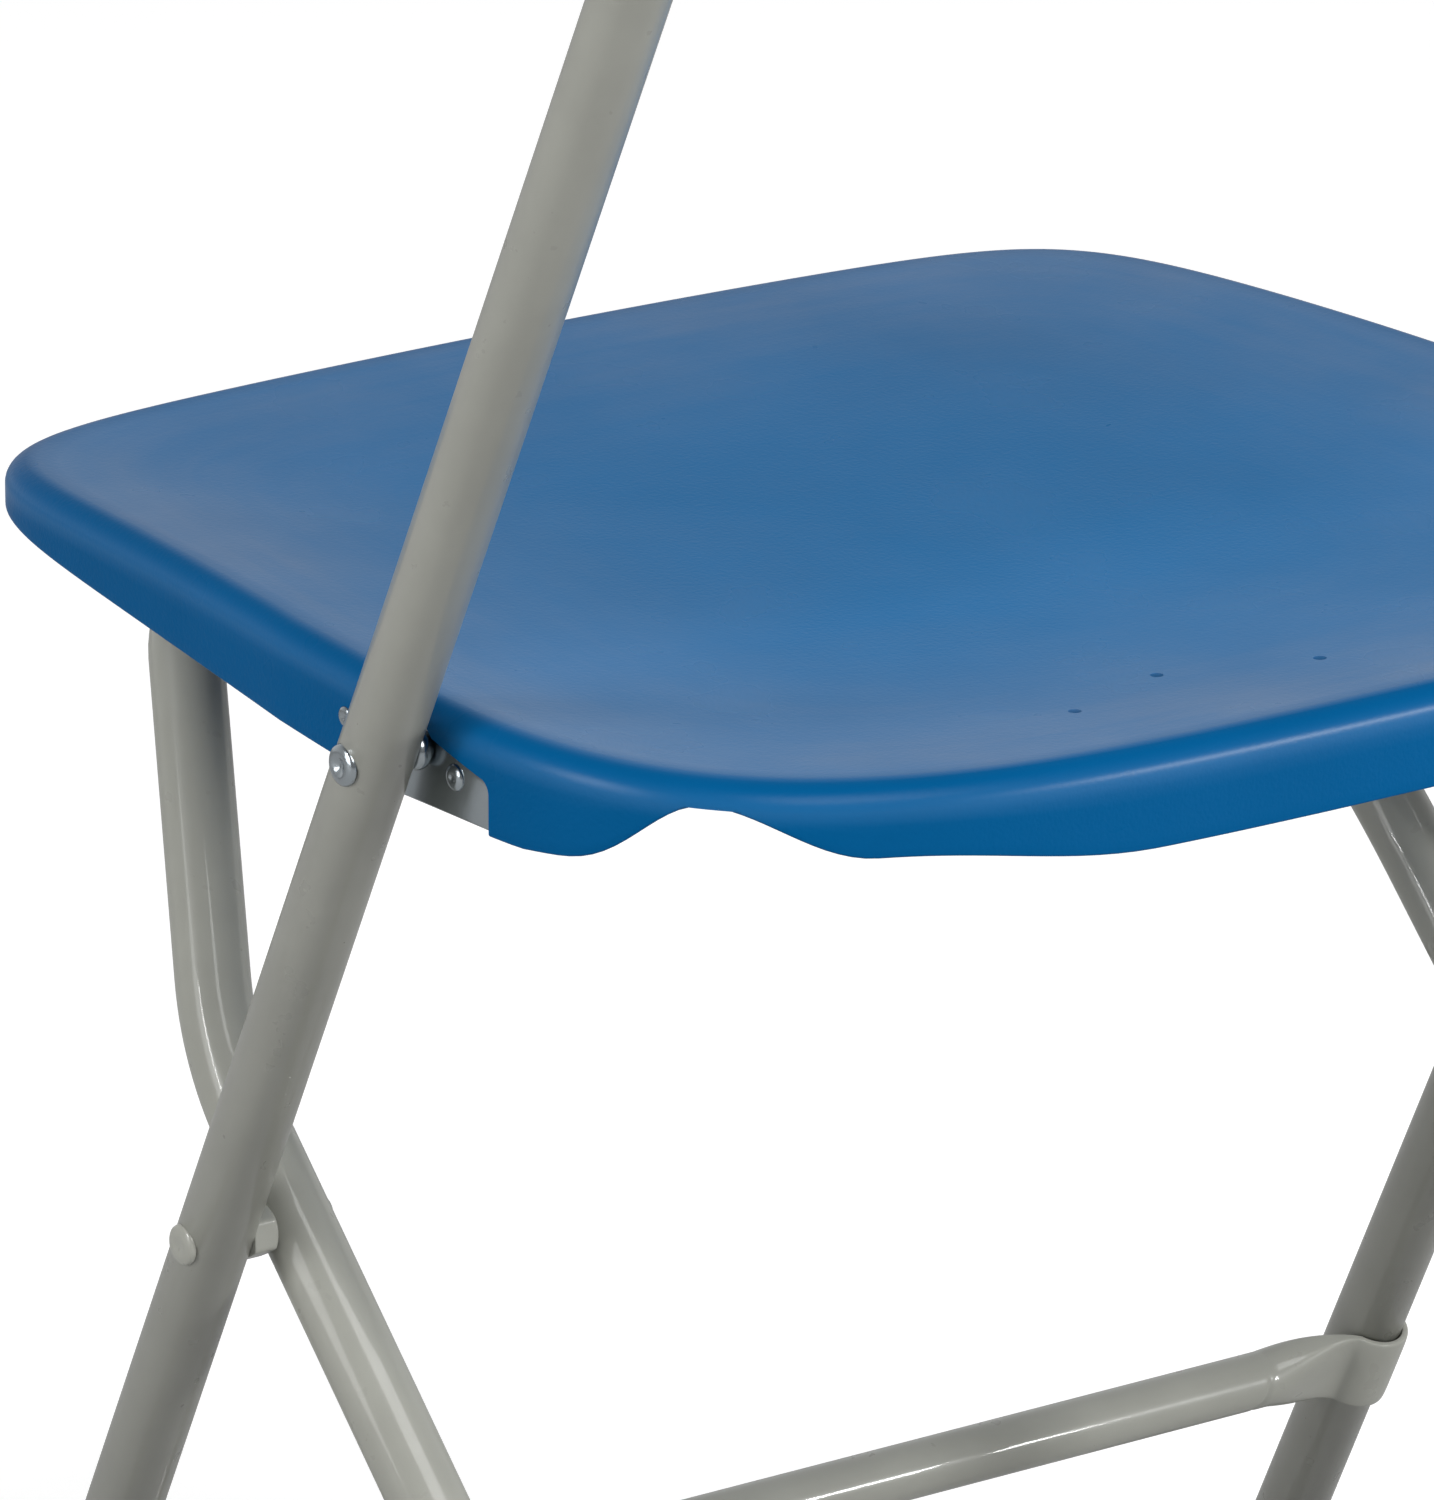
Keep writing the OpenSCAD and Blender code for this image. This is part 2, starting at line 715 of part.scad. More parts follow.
// Cuts on the left side of the seat: room for the bracket, rivet holes and screw holes.
module seat_cuts() {
    translate([plate_in, seat_pivot_y, seat_pivot_z])
        rotate([90, 0, 90])
            linear_extrude(bracket_t + fixed_fit)
                bracket_outline(0.4);
    translate([plate_in, seat_pivot_y, seat_pivot_z])
        rotate([90, 0, 90])
            linear_extrude(up_x - plate_in)
                intersection() {
                    bracket_outline(1.2);
                    translate([-bracket_front + 18, -2 * bracket_low])
                        square([bracket_front + bracket_back, 4 * bracket_low]);
                }
    rod_x(plate_in - run_gap - seat_head_h, up_x, seat_pivot_y, seat_pivot_z, washer_r + 1);
    rod_x(plate_out - 10, up_x, front_rivet_y, seat_pivot_z + rivet_places[0][1],
        small_rivet_d / 2 + fixed_fit, $fn = 24);
    rod_x(plate_in - rivet_boss - 1, up_x, seat_pivot_y + rivet_places[1][0],
        seat_pivot_z + rivet_places[1][1], small_rivet_d / 2 + fixed_fit, $fn = 24);
    for (y = screw_y)
        translate([hook_x, rear_top_y + y, plate_z])
            cylinder(r = screw_hole_r, h = hook_t + boss_h - 0.4, $fn = 24);
}

module seat_hook_left() {
    r0 = tube_r + hook_gap;
    r1 = r0 + hook_t;
    color(zinc)
        place()
            translate([hook_x - hook_w / 2, rear_top_y, rear_top_z])
                rotate([90, 0, 90])
                    difference() {
                        linear_extrude(hook_w)
                            union() {
                                translate([0, r0])
                                    square([hook_plate, hook_t]);
                                intersection() {
                                    difference() {
                                        circle(r = r1, $fn = 96);
                                        circle(r = r0, $fn = 96);
                                    }
                                    polygon(2 * r1 * [[0, 0], [0, 1], [-1, 1], [-1, -tan(20)]]);
                                }
                            }
                        for (y = screw_y)
                            translate([y, 0, hook_w / 2])
                                rotate([-90, 0, 0])
                                    cylinder(r = screw_hole_r, h = r1 + 1, $fn = 24);
                    }
}

module seat_hook_right() {
    mirror([1, 0, 0])
        seat_hook_left();
}

module hook_screws() {
    color(zinc)
        place()
            for (k = [-1, 1], y = screw_y)
                translate([k * hook_x, rear_top_y + y, plate_z]) {
                    translate([0, 0, -screw_head_h])
                        cylinder(r1 = screw_d * 0.74, r2 = screw_d * 1.03, h = screw_head_h, $fn = 32);
                    translate([0, 0, -0.1])
                        cylinder(r = screw_d / 2, h = hook_t + boss_h - 0.6, $fn = 24);
                }
}

back_mid_s = top_s - back_drop - back_h / 2;
back_rivet_s = [back_mid_s - back_h / 2 + back_rivet_low, back_mid_s + back_h / 2 - back_rivet_high];
back_half = back_w / 2;
back_arc_r = (back_half * back_half + back_curve * back_curve) / (2 * back_curve);

// The backrest lies on the front of the uprights and curves back between them.
module back_panel() {
    color(blue)
        place()
            translate(main_pt(0, back_mid_s, 0))
                rotate([90 - lean, 0, 0])
                    difference() {
                        intersection() {
                            rounded_plate(back_w, back_h, back_corner, -2 * tube_d, 2 * tube_d);
                            back_ring(back_arc_r, back_t);
                        }
                        for (k = [-1, 1], s = back_rivet_s)
                            translate([k * up_x, s - back_mid_s, 0])
                                cylinder(r = back_rivet_d / 2 + fixed_fit, h = 2 * tube_d);
                        for (k = [0, 1])
                            mirror([k, 0, 0])
                                tube_channel();
                    }
}

// Room for the left upright and its bend in the rear face of the backrest.
module tube_channel() {
    bend_y = top_s - top_bend_r - back_mid_s;
    translate([up_x, -back_h, 0])
        rotate([-90, 0, 0])
            cylinder(r = tube_r + fixed_fit, h = back_h + bend_y + lap);
    translate([up_x - top_bend_r, bend_y, 0])
        rotate_extrude(angle = 90)
            translate([top_bend_r, 0])
                circle(r = tube_r + full + fixed_fit);
}

// A band of the given radius about a level axis; its inner face touches the uprights.
module back_ring(r, t) {
    lift = tube_r + r * cos(asin(up_x / r));
    translate([0, -back_h, lift])
        rotate([-90, 0, 0])
            difference() {
                cylinder(r = r, h = 2 * back_h, $fn = 360);
                translate([0, 0, -1])
                    cylinder(r = r - t, h = 2 * back_h + 2, $fn = 360);
            }
}

module rounded_plate(w, h, r, z0, z1) {
    translate([0, 0, z0])
        linear_extrude(z1 - z0)
            union() {
                square([w - 2 * r, h], center = true);
                square([w, h - 2 * r], center = true);
                for (i = [-1, 1], j = [-1, 1])
                    translate([i * (w / 2 - r), j * (h / 2 - r)])
                        circle(r = r);
            }
}

module back_rivets() {
    color(zinc)
        place()
            for (k = [-1, 1], s = back_rivet_s) {
                across_main(k * up_x, s, back_rivet_d / 2, -tube_r - 0.6, tube_r + back_t + 0.6);
                translate(main_pt(k * up_x, s, tube_r + back_t + 0.4))
                    rotate([90 - lean, 0, 0])
                        flat_dome(back_rivet_d / 2 + 2.5, 2);
                translate(main_pt(k * up_x, s, -tube_r - 0.2))
                    rotate([-90 - lean, 0, 0])
                        flat_dome(back_rivet_d / 2 + 2, 1.8);
            }
}

module flat_dome(r, h) {
    rotate([0, -90, 0])
        dome_x(0, 0, 0, r, h);
}

// A foot cap for a tube that reaches the floor at y, with its axis turned by tilt about X,
// and whose end lies at end_s up the tube.
module foot(x, y, tilt, end_s) {
    difference() {
        translate([x, y, 0])
            rotate([tilt, 0, 0])
                difference() {
                    translate([0, 0, -foot_d])
                        cylinder(r = foot_d / 2, h = foot_d + foot_h);
                    difference() {
                        translate([0, 0, end_s - fixed_fit])
                            cylinder(r = tube_r + fixed_fit, h = foot_h + 10);
                        translate([0, 0, end_s - 1])
                            cylinder(r = bore_r - 2 * fixed_fit, h = 15);
                    }
                }
        translate([x - 2 * foot_d, y - 2 * foot_d, -2 * foot_d])
            cube([4 * foot_d, 4 * foot_d, 2 * foot_d]);
    }
}

module front_foot_left() {
    color(grey)
        place()
            foot(up_x, main_foot_y, -lean, main_end_s);
}

module front_foot_right() {
    mirror([1, 0, 0])
        front_foot_left();
}

module rear_foot_left() {
    color(grey)
        place()
            foot(leg_x, rear_floor_d * sin(rear_lean), rear_lean, rear_floor_d - rear_end_d);
}

module rear_foot_right() {
    mirror([1, 0, 0])
        rear_foot_left();
}

main_frame();
front_crossbar();
rear_frame();
rear_crossbar();
leg_pivot_rivet_left();
leg_pivot_rivet_right();
leg_pivot_spacer_left();
leg_pivot_spacer_right();
seat_shell();
seat_bracket_left();
seat_bracket_right();
bracket_rivets();
seat_pivot_rivet_left();
seat_pivot_rivet_right();
seat_pivot_washer_left();
seat_pivot_washer_right();
seat_hook_left();
seat_hook_right();
hook_screws();
back_panel();
back_rivets();
front_foot_left();
front_foot_right();
rear_foot_left();
rear_foot_right();
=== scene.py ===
"""A plastic folding chair with a crossed tube frame, dressed for a studio picture."""

import json
import math

import bmesh
import bpy
from mathutils import Matrix, Vector


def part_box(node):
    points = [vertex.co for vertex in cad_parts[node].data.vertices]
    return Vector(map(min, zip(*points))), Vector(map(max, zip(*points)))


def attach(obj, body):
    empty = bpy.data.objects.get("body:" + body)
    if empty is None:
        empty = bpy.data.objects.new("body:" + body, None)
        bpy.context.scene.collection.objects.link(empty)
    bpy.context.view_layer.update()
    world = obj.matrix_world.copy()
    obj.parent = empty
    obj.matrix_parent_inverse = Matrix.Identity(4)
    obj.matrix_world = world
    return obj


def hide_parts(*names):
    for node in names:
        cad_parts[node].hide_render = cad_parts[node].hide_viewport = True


bl_info = {
    "name": "Folding Chair Finish",
    "version": (1, 0, 0),
    "blender": (4, 5, 0),
    "location": "View3D > Sidebar > Chair",
    "description": "Makes the visible pieces and finishes of a plastic folding chair",
    "category": "Object",
}

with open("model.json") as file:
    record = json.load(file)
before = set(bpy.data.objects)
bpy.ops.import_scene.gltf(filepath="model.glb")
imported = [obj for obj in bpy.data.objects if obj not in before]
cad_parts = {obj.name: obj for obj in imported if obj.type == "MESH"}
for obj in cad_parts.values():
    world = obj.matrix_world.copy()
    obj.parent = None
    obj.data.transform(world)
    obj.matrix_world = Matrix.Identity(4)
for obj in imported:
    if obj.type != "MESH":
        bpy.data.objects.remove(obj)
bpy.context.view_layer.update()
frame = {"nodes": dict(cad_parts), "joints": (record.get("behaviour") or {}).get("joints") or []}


# ---------------------------------------------------------------- settings

def number_prop(name, text, value, **kind):
    """A number with its label, description and default."""
    return bpy.props.FloatProperty(name=name, description=text, default=value, **kind)


def length_prop(name, text, value):
    """A length in metres."""
    return number_prop(name, text, value, unit="LENGTH")


def angle_prop(name, text, degrees):
    """An angle, whose default is given in degrees."""
    return number_prop(name, text, math.radians(degrees), subtype="ANGLE")


def colour_prop(name, text, value):
    """A linear colour."""
    return bpy.props.FloatVectorProperty(name=name, description=text, size=3, subtype="COLOR", default=value)


class ChairSizes(bpy.types.PropertyGroup):
    """Sizes of the chair, as in its construction."""

    tube_radius: length_prop("Tube radius", "Outer radius of the frame tubes", 0.010)
    frame_width: length_prop("Frame width", "Distance between the uprights' axes", 0.440)
    lean: angle_prop("Lean", "Lean of the uprights from the vertical", 26.7)
    top_height: length_prop("Top tube height", "Height of the top tube's axis", 0.792)
    top_bend: length_prop("Top bend", "Centreline radius of the top bends", 0.060)
    rear_lean: angle_prop("Rear lean", "Lean of the lower rear legs", 44.7)
    upper_lean: angle_prop("Upper lean", "Lean of the upper rear legs", 32.4)
    toe_in: angle_prop("Toe-in", "Turn of the upper rear legs to the middle", 15.5)
    bend_up: length_prop("Bend height", "Length from leg pivot up to the leg bend", 0.048)
    leg_bend: length_prop("Leg bend", "Centreline radius of the leg bend", 0.130)
    rear_bend: length_prop("Rear top bend", "Centreline radius of the rear top bends", 0.026)
    rear_top: length_prop("Rear top height", "Height of the rear top tube's axis", 0.404)
    leg_x: length_prop("Rear leg offset", "Distance of a rear leg from the middle", 0.1948)
    leg_pivot: length_prop("Leg pivot height", "Height of the leg pivot", 0.264)
    seat_pivot: length_prop("Seat pivot height", "Height of the seat pivot", 0.412)
    bracket_gap: length_prop("Bracket gap", "Gap between an upright and its bracket", 0.0056)
    bracket_thick: length_prop("Bracket thickness", "Thickness of the bracket plates", 0.002)
    back_height: length_prop("Backrest height", "Height of the backrest", 0.145)
    back_drop: length_prop("Backrest drop", "Distance of the backrest below the top tube", 0.020)
    bar_radius: length_prop("Crossbar radius", "Radius of the crossbars", 0.008)


class ChairSeat(bpy.types.PropertyGroup):
    """Shape of the moulded seat."""

    half_width: length_prop("Half width", "Half of the seat's width at its middle", 0.205)
    half_depth: length_prop("Half depth", "Half of the seat's depth", 0.183)
    rim_height: length_prop("Rim height", "Height of the rim at the middle", 0.429)
    fall: angle_prop("Fall", "Fall of the seat toward the rear", 2.95)
    dish: length_prop("Dish", "Depth of the hollow of the seat", 0.011)
    wall: length_prop("Wall", "Thickness of the plastic", 0.003)
    edge: length_prop("Edge", "Radius of the edge between seat and skirt", 0.007)
    skirt: length_prop("Skirt", "Depth of the skirt at the sides", 0.026)
    notch: length_prop("Corner cut-out", "Height of the cut-outs at the rear corners", 0.0179)
    notch_reach: length_prop("Cut-out reach", "Length of the corner cut-outs", 0.048)
    front_square: number_prop("Front corners", "How square the front corners are", 9.1)
    rear_square: number_prop("Rear corners", "How square the rear corners are", 4.0)
    front_narrow: number_prop("Front taper", "Share by which the front is narrower", 0.085, subtype="FACTOR")
    rear_wide: number_prop("Rear taper", "Share by which the rear is wider", 0.043, subtype="FACTOR")
    rim_curve: length_prop("Rim curve", "Drop of the rim at the front and rear", 0.0047)
    corner_turn: length_prop("Corner turn", "Rise of the rear corners, drop of the front", 0.0048)
    drain: length_prop("Drain hole", "Diameter of the drain holes", 0.0036)


class ChairColours(bpy.types.PropertyGroup):
    """Colours of the finishes."""

    paint: colour_prop("Tube paint", "Warm grey powder coat", (0.345, 0.348, 0.311))
    plastic: colour_prop("Seat plastic", "Blue moulded plastic", (0.0006, 0.090, 0.252))
    zinc: colour_prop("Zinc plate", "Bright zinc on small steel parts", (0.370, 0.410, 0.435))
    foot: colour_prop("Foot caps", "Grey plastic caps", (0.105, 0.105, 0.100))


class ChairView(bpy.types.PropertyGroup):
    """The studio and the camera."""

    camera_at: bpy.props.FloatVectorProperty(name="Camera", description="Place of the camera", size=3,
                                             subtype="TRANSLATION", default=(1.98159, 2.56751, 1.38353))
    azimuth: number_prop("Azimuth", "Turn of the camera round the chair", 2.5087121, subtype="ANGLE")
    elevation: number_prop("Elevation", "Tilt of the camera down to the chair", 0.3035054, subtype="ANGLE")
    lens: number_prop("Lens", "Focal length in millimetres", 326.36)


# ---------------------------------------------------------------- mesh tools

def piece(name, verts, faces, shaded=True):
    """A mesh object at the origin, with its place in its vertices."""
    mesh = bpy.data.meshes.new(name)
    mesh.from_pydata([tuple(v) for v in verts], [], faces)
    mesh.validate()
    bm = bmesh.new()
    bm.from_mesh(mesh)
    bmesh.ops.remove_doubles(bm, verts=bm.verts, dist=1e-7)
    bmesh.ops.recalc_face_normals(bm, faces=bm.faces)
    bm.to_mesh(mesh)
    bm.free()
    for poly in mesh.polygons:
        poly.use_smooth = shaded
    obj = bpy.data.objects.new(name, mesh)
    bpy.context.scene.collection.objects.link(obj)
    return obj


def skin(rings):
    """Vertices and faces of a skin over rings of equal length; each end closes on its middle."""
    count = len(rings[0])
    verts = [v for ring in rings for v in ring]
    faces = []
    for j in range(len(rings) - 1):
        for i in range(count):
            n = (i + 1) % count
            faces.append((j * count + i, j * count + n, (j + 1) * count + n, (j + 1) * count + i))
    for j, ring in ((0, rings[0]), (len(rings) - 1, rings[-1])):
        middle = sum((Vector(v) for v in ring), Vector()) / count
        verts.append(middle)
        k = len(verts) - 1
        for i in range(count):
            faces.append((k, j * count + i, j * count + (i + 1) % count))
    return verts, faces


def route(points, radii, step=0.004):
    """Points along straight runs joined by round bends, with radii[i] at points[i]."""
    points = [Vector(p) for p in points]
    out = [points[0]]
    for i in range(1, len(points) - 1):
        a = (points[i] - points[i - 1]).normalized()
        b = (points[i + 1] - points[i]).normalized()
        turn = a.angle(b)
        cut = radii[i] * math.tan(turn / 2)
        side = (b - a * a.dot(b)).normalized()
        centre = points[i] - a * cut + side * radii[i]
        count = max(8, int(radii[i] * turn / step))
        for k in range(count + 1):
            t = turn * k / count
            out.append(centre - side * (radii[i] * math.cos(t)) + a * (radii[i] * math.sin(t)))
    out.append(points[-1])
    return out


def tube(name, path, radius, sides=72):
    """A round tube along a path."""
    rings = []
    up = None
    for i, p in enumerate(path):
        ahead = (path[min(i + 1, len(path) - 1)] - path[max(i - 1, 0)]).normalized()
        if up is None:
            up = ahead.orthogonal().normalized()
        up = (up - ahead * up.dot(ahead)).normalized()
        side = ahead.cross(up)
        rings.append([p + (up * math.cos(2 * math.pi * k / sides) + side * math.sin(2 * math.pi * k / sides)) * radius
                      for k in range(sides)])
    return piece(name, *skin(rings))


def lathe(profile, origin, axis, sides=48):
    """Rings of a turned shape; the profile gives radius and height along the axis."""
    axis = Vector(axis).normalized()
    u = axis.orthogonal().normalized()
    v = axis.cross(u)
    return [[Vector(origin) + axis * h + (u * math.cos(2 * math.pi * k / sides)
             + v * math.sin(2 * math.pi * k / sides)) * r for k in range(sides)] for r, h in profile]


def join_skins(parts):
    """Joins vertex and face lists into one."""
    verts, faces = [], []
    for vs, fs in parts:
        base = len(verts)
        verts += [Vector(v) for v in vs]
        faces += [tuple(base + i for i in f) for f in fs]
    return verts, faces


def mirrored(part):
    """The same skin on the other side of the chair."""
    vs, fs = part
    return [Vector((-v[0], v[1], v[2])) for v in vs], [tuple(reversed(f)) for f in fs]


def both(part):
    """A skin and its mirror image."""
    return join_skins([part, mirrored(part)])


def bevelled(obj, width, segments, angle):
    """Rounds the edges of a piece and applies it."""
    mod = obj.modifiers.new("round", "BEVEL")
    mod.width = width
    mod.segments = segments
    mod.limit_method = "ANGLE"
    mod.angle_limit = math.radians(angle)
    mod.harden_normals = False
    bake(obj)
    return obj


def bake(obj):
    """Turns the modifiers of a piece into its mesh."""
    graph = bpy.context.evaluated_depsgraph_get()
    mesh = bpy.data.meshes.new_from_object(obj.evaluated_get(graph))
    obj.modifiers.clear()
    obj.data = mesh


def smooth(obj, angle=35):
    """Shades a piece smooth, with its edges over an angle kept crisp."""
    for poly in obj.data.polygons:
        poly.use_smooth = True
    obj.data.set_sharp_from_angle(angle=math.radians(angle))
    return obj


def put(obj, body, material, *nodes, slot=None):
    """Gives a piece its finish and its body, and hides the nodes that it stands for."""
    obj.data.materials.clear()
    obj.data.materials.append(material)
    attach(obj, body)
    if nodes:
        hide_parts(*nodes)
    return obj


# ---------------------------------------------------------------- places on the chair

class Chair:
    """Places worked out from the sizes and the frame."""

    def __init__(self, scene):
        s = scene.chair_sizes
        self.s = s
        low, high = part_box("seat_shell")
        self.seat_y = (low[1] + high[1]) / 2
        pivot = next(j for j in frame["joints"] if j["name"] == "rear_leg_fold")["pos_m"]
        self.pivot_y = pivot[1]
        self.foot_y = self.pivot_y - s.leg_pivot * math.tan(s.lean)
        self.up_x = s.frame_width / 2
        self.seat_pivot_y = self.foot_y + s.seat_pivot * math.tan(s.lean)
        self.top_s = s.top_height / math.cos(s.lean)
        self.back_s = self.top_s - s.back_drop - s.back_height / 2
        self.plate_out = self.up_x - s.tube_radius - s.bracket_gap
        self.plate_in = self.plate_out - s.bracket_thick

    def main(self, x, along, front=0.0):
        """A point of the main frame: x, way up the upright and way to its front."""
        lean = self.s.lean
        return Vector((x, self.foot_y + along * math.sin(lean) - front * math.cos(lean),
                       along * math.cos(lean) + front * math.sin(lean)))

    def rear(self, x, down, back=0.0):
        """A point of the rear legs: x, way down from the pivot and way to the rear."""
        lean = self.s.rear_lean
        return Vector((x, self.pivot_y + down * math.sin(lean) + back * math.cos(lean),
                       self.s.leg_pivot - down * math.cos(lean) + back * math.sin(lean)))

    def main_route(self):
        """The main tube from foot to foot."""
        x, end = self.up_x, 0.012
        return route([self.main(x, end), self.main(x, self.top_s), self.main(-x, self.top_s), self.main(-x, end)],
                     [0, self.s.top_bend, self.s.top_bend, 0])

    def rear_route(self):
        """The rear tube from foot to foot."""
        s = self.s
        bend = self.rear(s.leg_x, -s.bend_up)
        rise = s.rear_top - bend.z
        y = bend.y - rise * math.tan(s.upper_lean)
        x = s.leg_x - rise / math.cos(s.upper_lean) * math.tan(s.toe_in)
        end = s.leg_pivot / math.cos(s.rear_lean) - 0.016
        left = [self.rear(s.leg_x, end), bend, Vector((x, y, s.rear_top))]
        right = [Vector((-p.x, p.y, p.z)) for p in reversed(left)]
        return route(left + right, [0, s.leg_bend, s.rear_bend, s.rear_bend, s.leg_bend, 0], 0.003)


# ---------------------------------------------------------------- finishes

def blank_material(name):
    """A node material with nothing but its output."""
    material = bpy.data.materials.new(name)
    material.use_nodes = True
    tree = material.node_tree
    tree.nodes.clear()
    return material, tree, tree.nodes.new("ShaderNodeOutputMaterial").inputs["Surface"]


def new_material(name):
    """A node material with its shader, and the coordinates that its effects follow."""
    material, tree, surface = blank_material(name)
    shader = tree.nodes.new("ShaderNodeBsdfPrincipled")
    tree.links.new(shader.outputs["BSDF"], surface)
    return material, tree, shader, tree.nodes.new("ShaderNodeTexCoord").outputs["Object"]


def cover(tree, shader, colour, roughness, normal):
    """Links the colour, roughness and normal of a surface to its shader."""
    for name, value in (("Base Color", colour), ("Roughness", roughness), ("Normal", normal)):
        tree.links.new(value, shader.inputs[name])


def noise(tree, coords, scale, detail, roughness=0.5):
    """A noise mask on the given coordinates; the scale may be a socket."""
    made = tree.nodes.new("ShaderNodeTexNoise")
    made.inputs["Detail"].default_value = detail
    made.inputs["Roughness"].default_value = roughness
    tree.links.new(coords, made.inputs["Vector"])
    feed(tree, made.inputs["Scale"], scale)
    return made.outputs["Fac"]


def feed(tree, socket, value):
    """Links a socket to another, or sets its value."""
    if isinstance(value, bpy.types.NodeSocket):
        tree.links.new(value, socket)
    else:
        socket.default_value = value


def ranged(tree, value, low, high, out_low, out_high):
    """Maps a value from one range to another; each end may be a socket."""
    made = tree.nodes.new("ShaderNodeMapRange")
    for name, end in (("From Min", low), ("From Max", high), ("To Min", out_low), ("To Max", out_high)):
        feed(tree, made.inputs[name], end)
    tree.links.new(value, made.inputs["Value"])
    return made.outputs["Result"]


def sums(tree, operation, first, second):
    """A math node on two values or sockets."""
    made = tree.nodes.new("ShaderNodeMath")
    made.operation = operation
    feed(tree, made.inputs[0], first)
    feed(tree, made.inputs[1], second)
    return made.outputs[0]


def mixed(tree, factor, first, second):
    """Mixes two colours; either may be a socket."""
    made = tree.nodes.new("ShaderNodeMix")
    made.data_type = "RGBA"
    feed(tree, made.inputs["Factor"], factor)
    for slot, value in ((6, first), (7, second)):
        feed(tree, made.inputs[slot], value if isinstance(value, bpy.types.NodeSocket) else (*value[:3], 1))
    return made.outputs[2]


def bump(tree, height, strength, distance):
    """A bump from a height."""
    made = tree.nodes.new("ShaderNodeBump")
    made.inputs["Strength"].default_value = strength
    made.inputs["Distance"].default_value = distance
    tree.links.new(height, made.inputs["Height"])
    return made.outputs["Normal"]


def shade(colour, share):
    """A colour made lighter or darker."""
    return tuple(c * share for c in colour)


def new_group(name, inputs, outputs):
    """A shader node group; inputs and outputs are pairs of a name and a kind of socket."""
    tree = bpy.data.node_groups.new(name, "ShaderNodeTree")
    for way, sockets in (("INPUT", inputs), ("OUTPUT", outputs)):
        for label, kind in sockets:
            tree.interface.new_socket(label, in_out=way, socket_type="NodeSocket" + kind)
    return tree, tree.nodes.new("NodeGroupInput").outputs, tree.nodes.new("NodeGroupOutput").inputs


def uneven_surface_group():
    """Cloudy change of tone and gloss over a surface."""
    tree, given, out = new_group("uneven_surface", (
        ("Vector", "Vector"), ("Colour", "Color"), ("Darker", "Float"), ("Lighter", "Float"),
        ("Smooth", "Float"), ("Rough", "Float"), ("Scale", "Float")),
        (("Colour", "Color"), ("Roughness", "Float"), ("Mask", "Float")))
    mask = ranged(tree, noise(tree, given["Vector"], given["Scale"], 3), 0.35, 0.65, 0, 1)
    tint = tree.nodes.new("ShaderNodeVectorMath")
    tint.operation = "SCALE"
    tree.links.new(given["Colour"], tint.inputs[0])
    tree.links.new(ranged(tree, mask, 0, 1, given["Darker"], given["Lighter"]), tint.inputs["Scale"])
    tree.links.new(tint.outputs[0], out["Colour"])
    fine = noise(tree, given["Vector"], sums(tree, "MULTIPLY", given["Scale"], 3.3), 3)
    tree.links.new(ranged(tree, fine, 0.3, 0.7, given["Smooth"], given["Rough"]), out["Roughness"])
    tree.links.new(mask, out["Mask"])
    return tree


def fine_grain_group():
    """Height of a fine surface grain, from orange peel to pebbles."""
    tree, given, out = new_group("fine_grain", (
        ("Vector", "Vector"), ("Scale", "Float"), ("Pebbles", "Float")), (("Height", "Float"),))
    soft = noise(tree, given["Vector"], given["Scale"], 2)
    cells = tree.nodes.new("ShaderNodeTexVoronoi")
    cells.feature = "SMOOTH_F1"
    tree.links.new(given["Vector"], cells.inputs["Vector"])
    tree.links.new(sums(tree, "MULTIPLY", given["Scale"], 1.7), cells.inputs["Scale"])
    hard = sums(tree, "MULTIPLY", cells.outputs["Distance"], given["Pebbles"])
    tree.links.new(sums(tree, "ADD", soft, hard), out["Height"])
    return tree


def specks_group():
    """Small specks of another colour, such as dust or scuffs."""
    tree, given, out = new_group("specks", (
        ("Vector", "Vector"), ("Colour", "Color"), ("Speck", "Color"), ("Amount", "Float"), ("Cover", "Float"),
        ("Scale", "Float")), (("Colour", "Color"), ("Mask", "Float")))
    edge = sums(tree, "SUBTRACT", 0.78, given["Cover"])
    spots = ranged(tree, noise(tree, given["Vector"], given["Scale"], 1), edge, 0.80, 0, 1)
    mask = sums(tree, "MULTIPLY", spots, given["Amount"])
    tree.links.new(mixed(tree, mask, given["Colour"], given["Speck"]), out["Colour"])
    tree.links.new(mask, out["Mask"])
    return tree


def effect(tree, name, **values):
    """Places one of the shared effects in a material; the effect is made when first asked for."""
    makers = {"uneven_surface": uneven_surface_group, "fine_grain": fine_grain_group, "specks": specks_group}
    made = tree.nodes.new("ShaderNodeGroup")
    made.node_tree = bpy.data.node_groups.get(name) or makers[name]()
    for key, value in values.items():
        feed(tree, made.inputs[key], value if isinstance(value, (bpy.types.NodeSocket, float, int)) else (*value, 1))
    return made.outputs


def paint_finish(colour):
    """Semi-gloss powder coat: faint orange peel, specks and uneven tone."""
    material, tree, shader, coords = new_material("tube_paint")
    base = effect(tree, "uneven_surface", Vector=coords, Colour=colour, Darker=0.96, Lighter=1.03,
                  Smooth=0.27, Rough=0.35, Scale=38)
    dust = effect(tree, "specks", Vector=coords, Colour=base["Colour"], Speck=shade(colour, 0.75),
                  Amount=0.10, Cover=0.02, Scale=900)
    peel = effect(tree, "fine_grain", Vector=coords, Scale=420, Pebbles=0.0)
    cover(tree, shader, dust["Colour"], base["Roughness"], bump(tree, peel["Height"], 0.03, 0.0004))
    shader.inputs["Specular IOR Level"].default_value = 0.22
    shader.inputs["Coat Weight"].default_value = 0.40
    shader.inputs["Coat Roughness"].default_value = 0.06
    return material


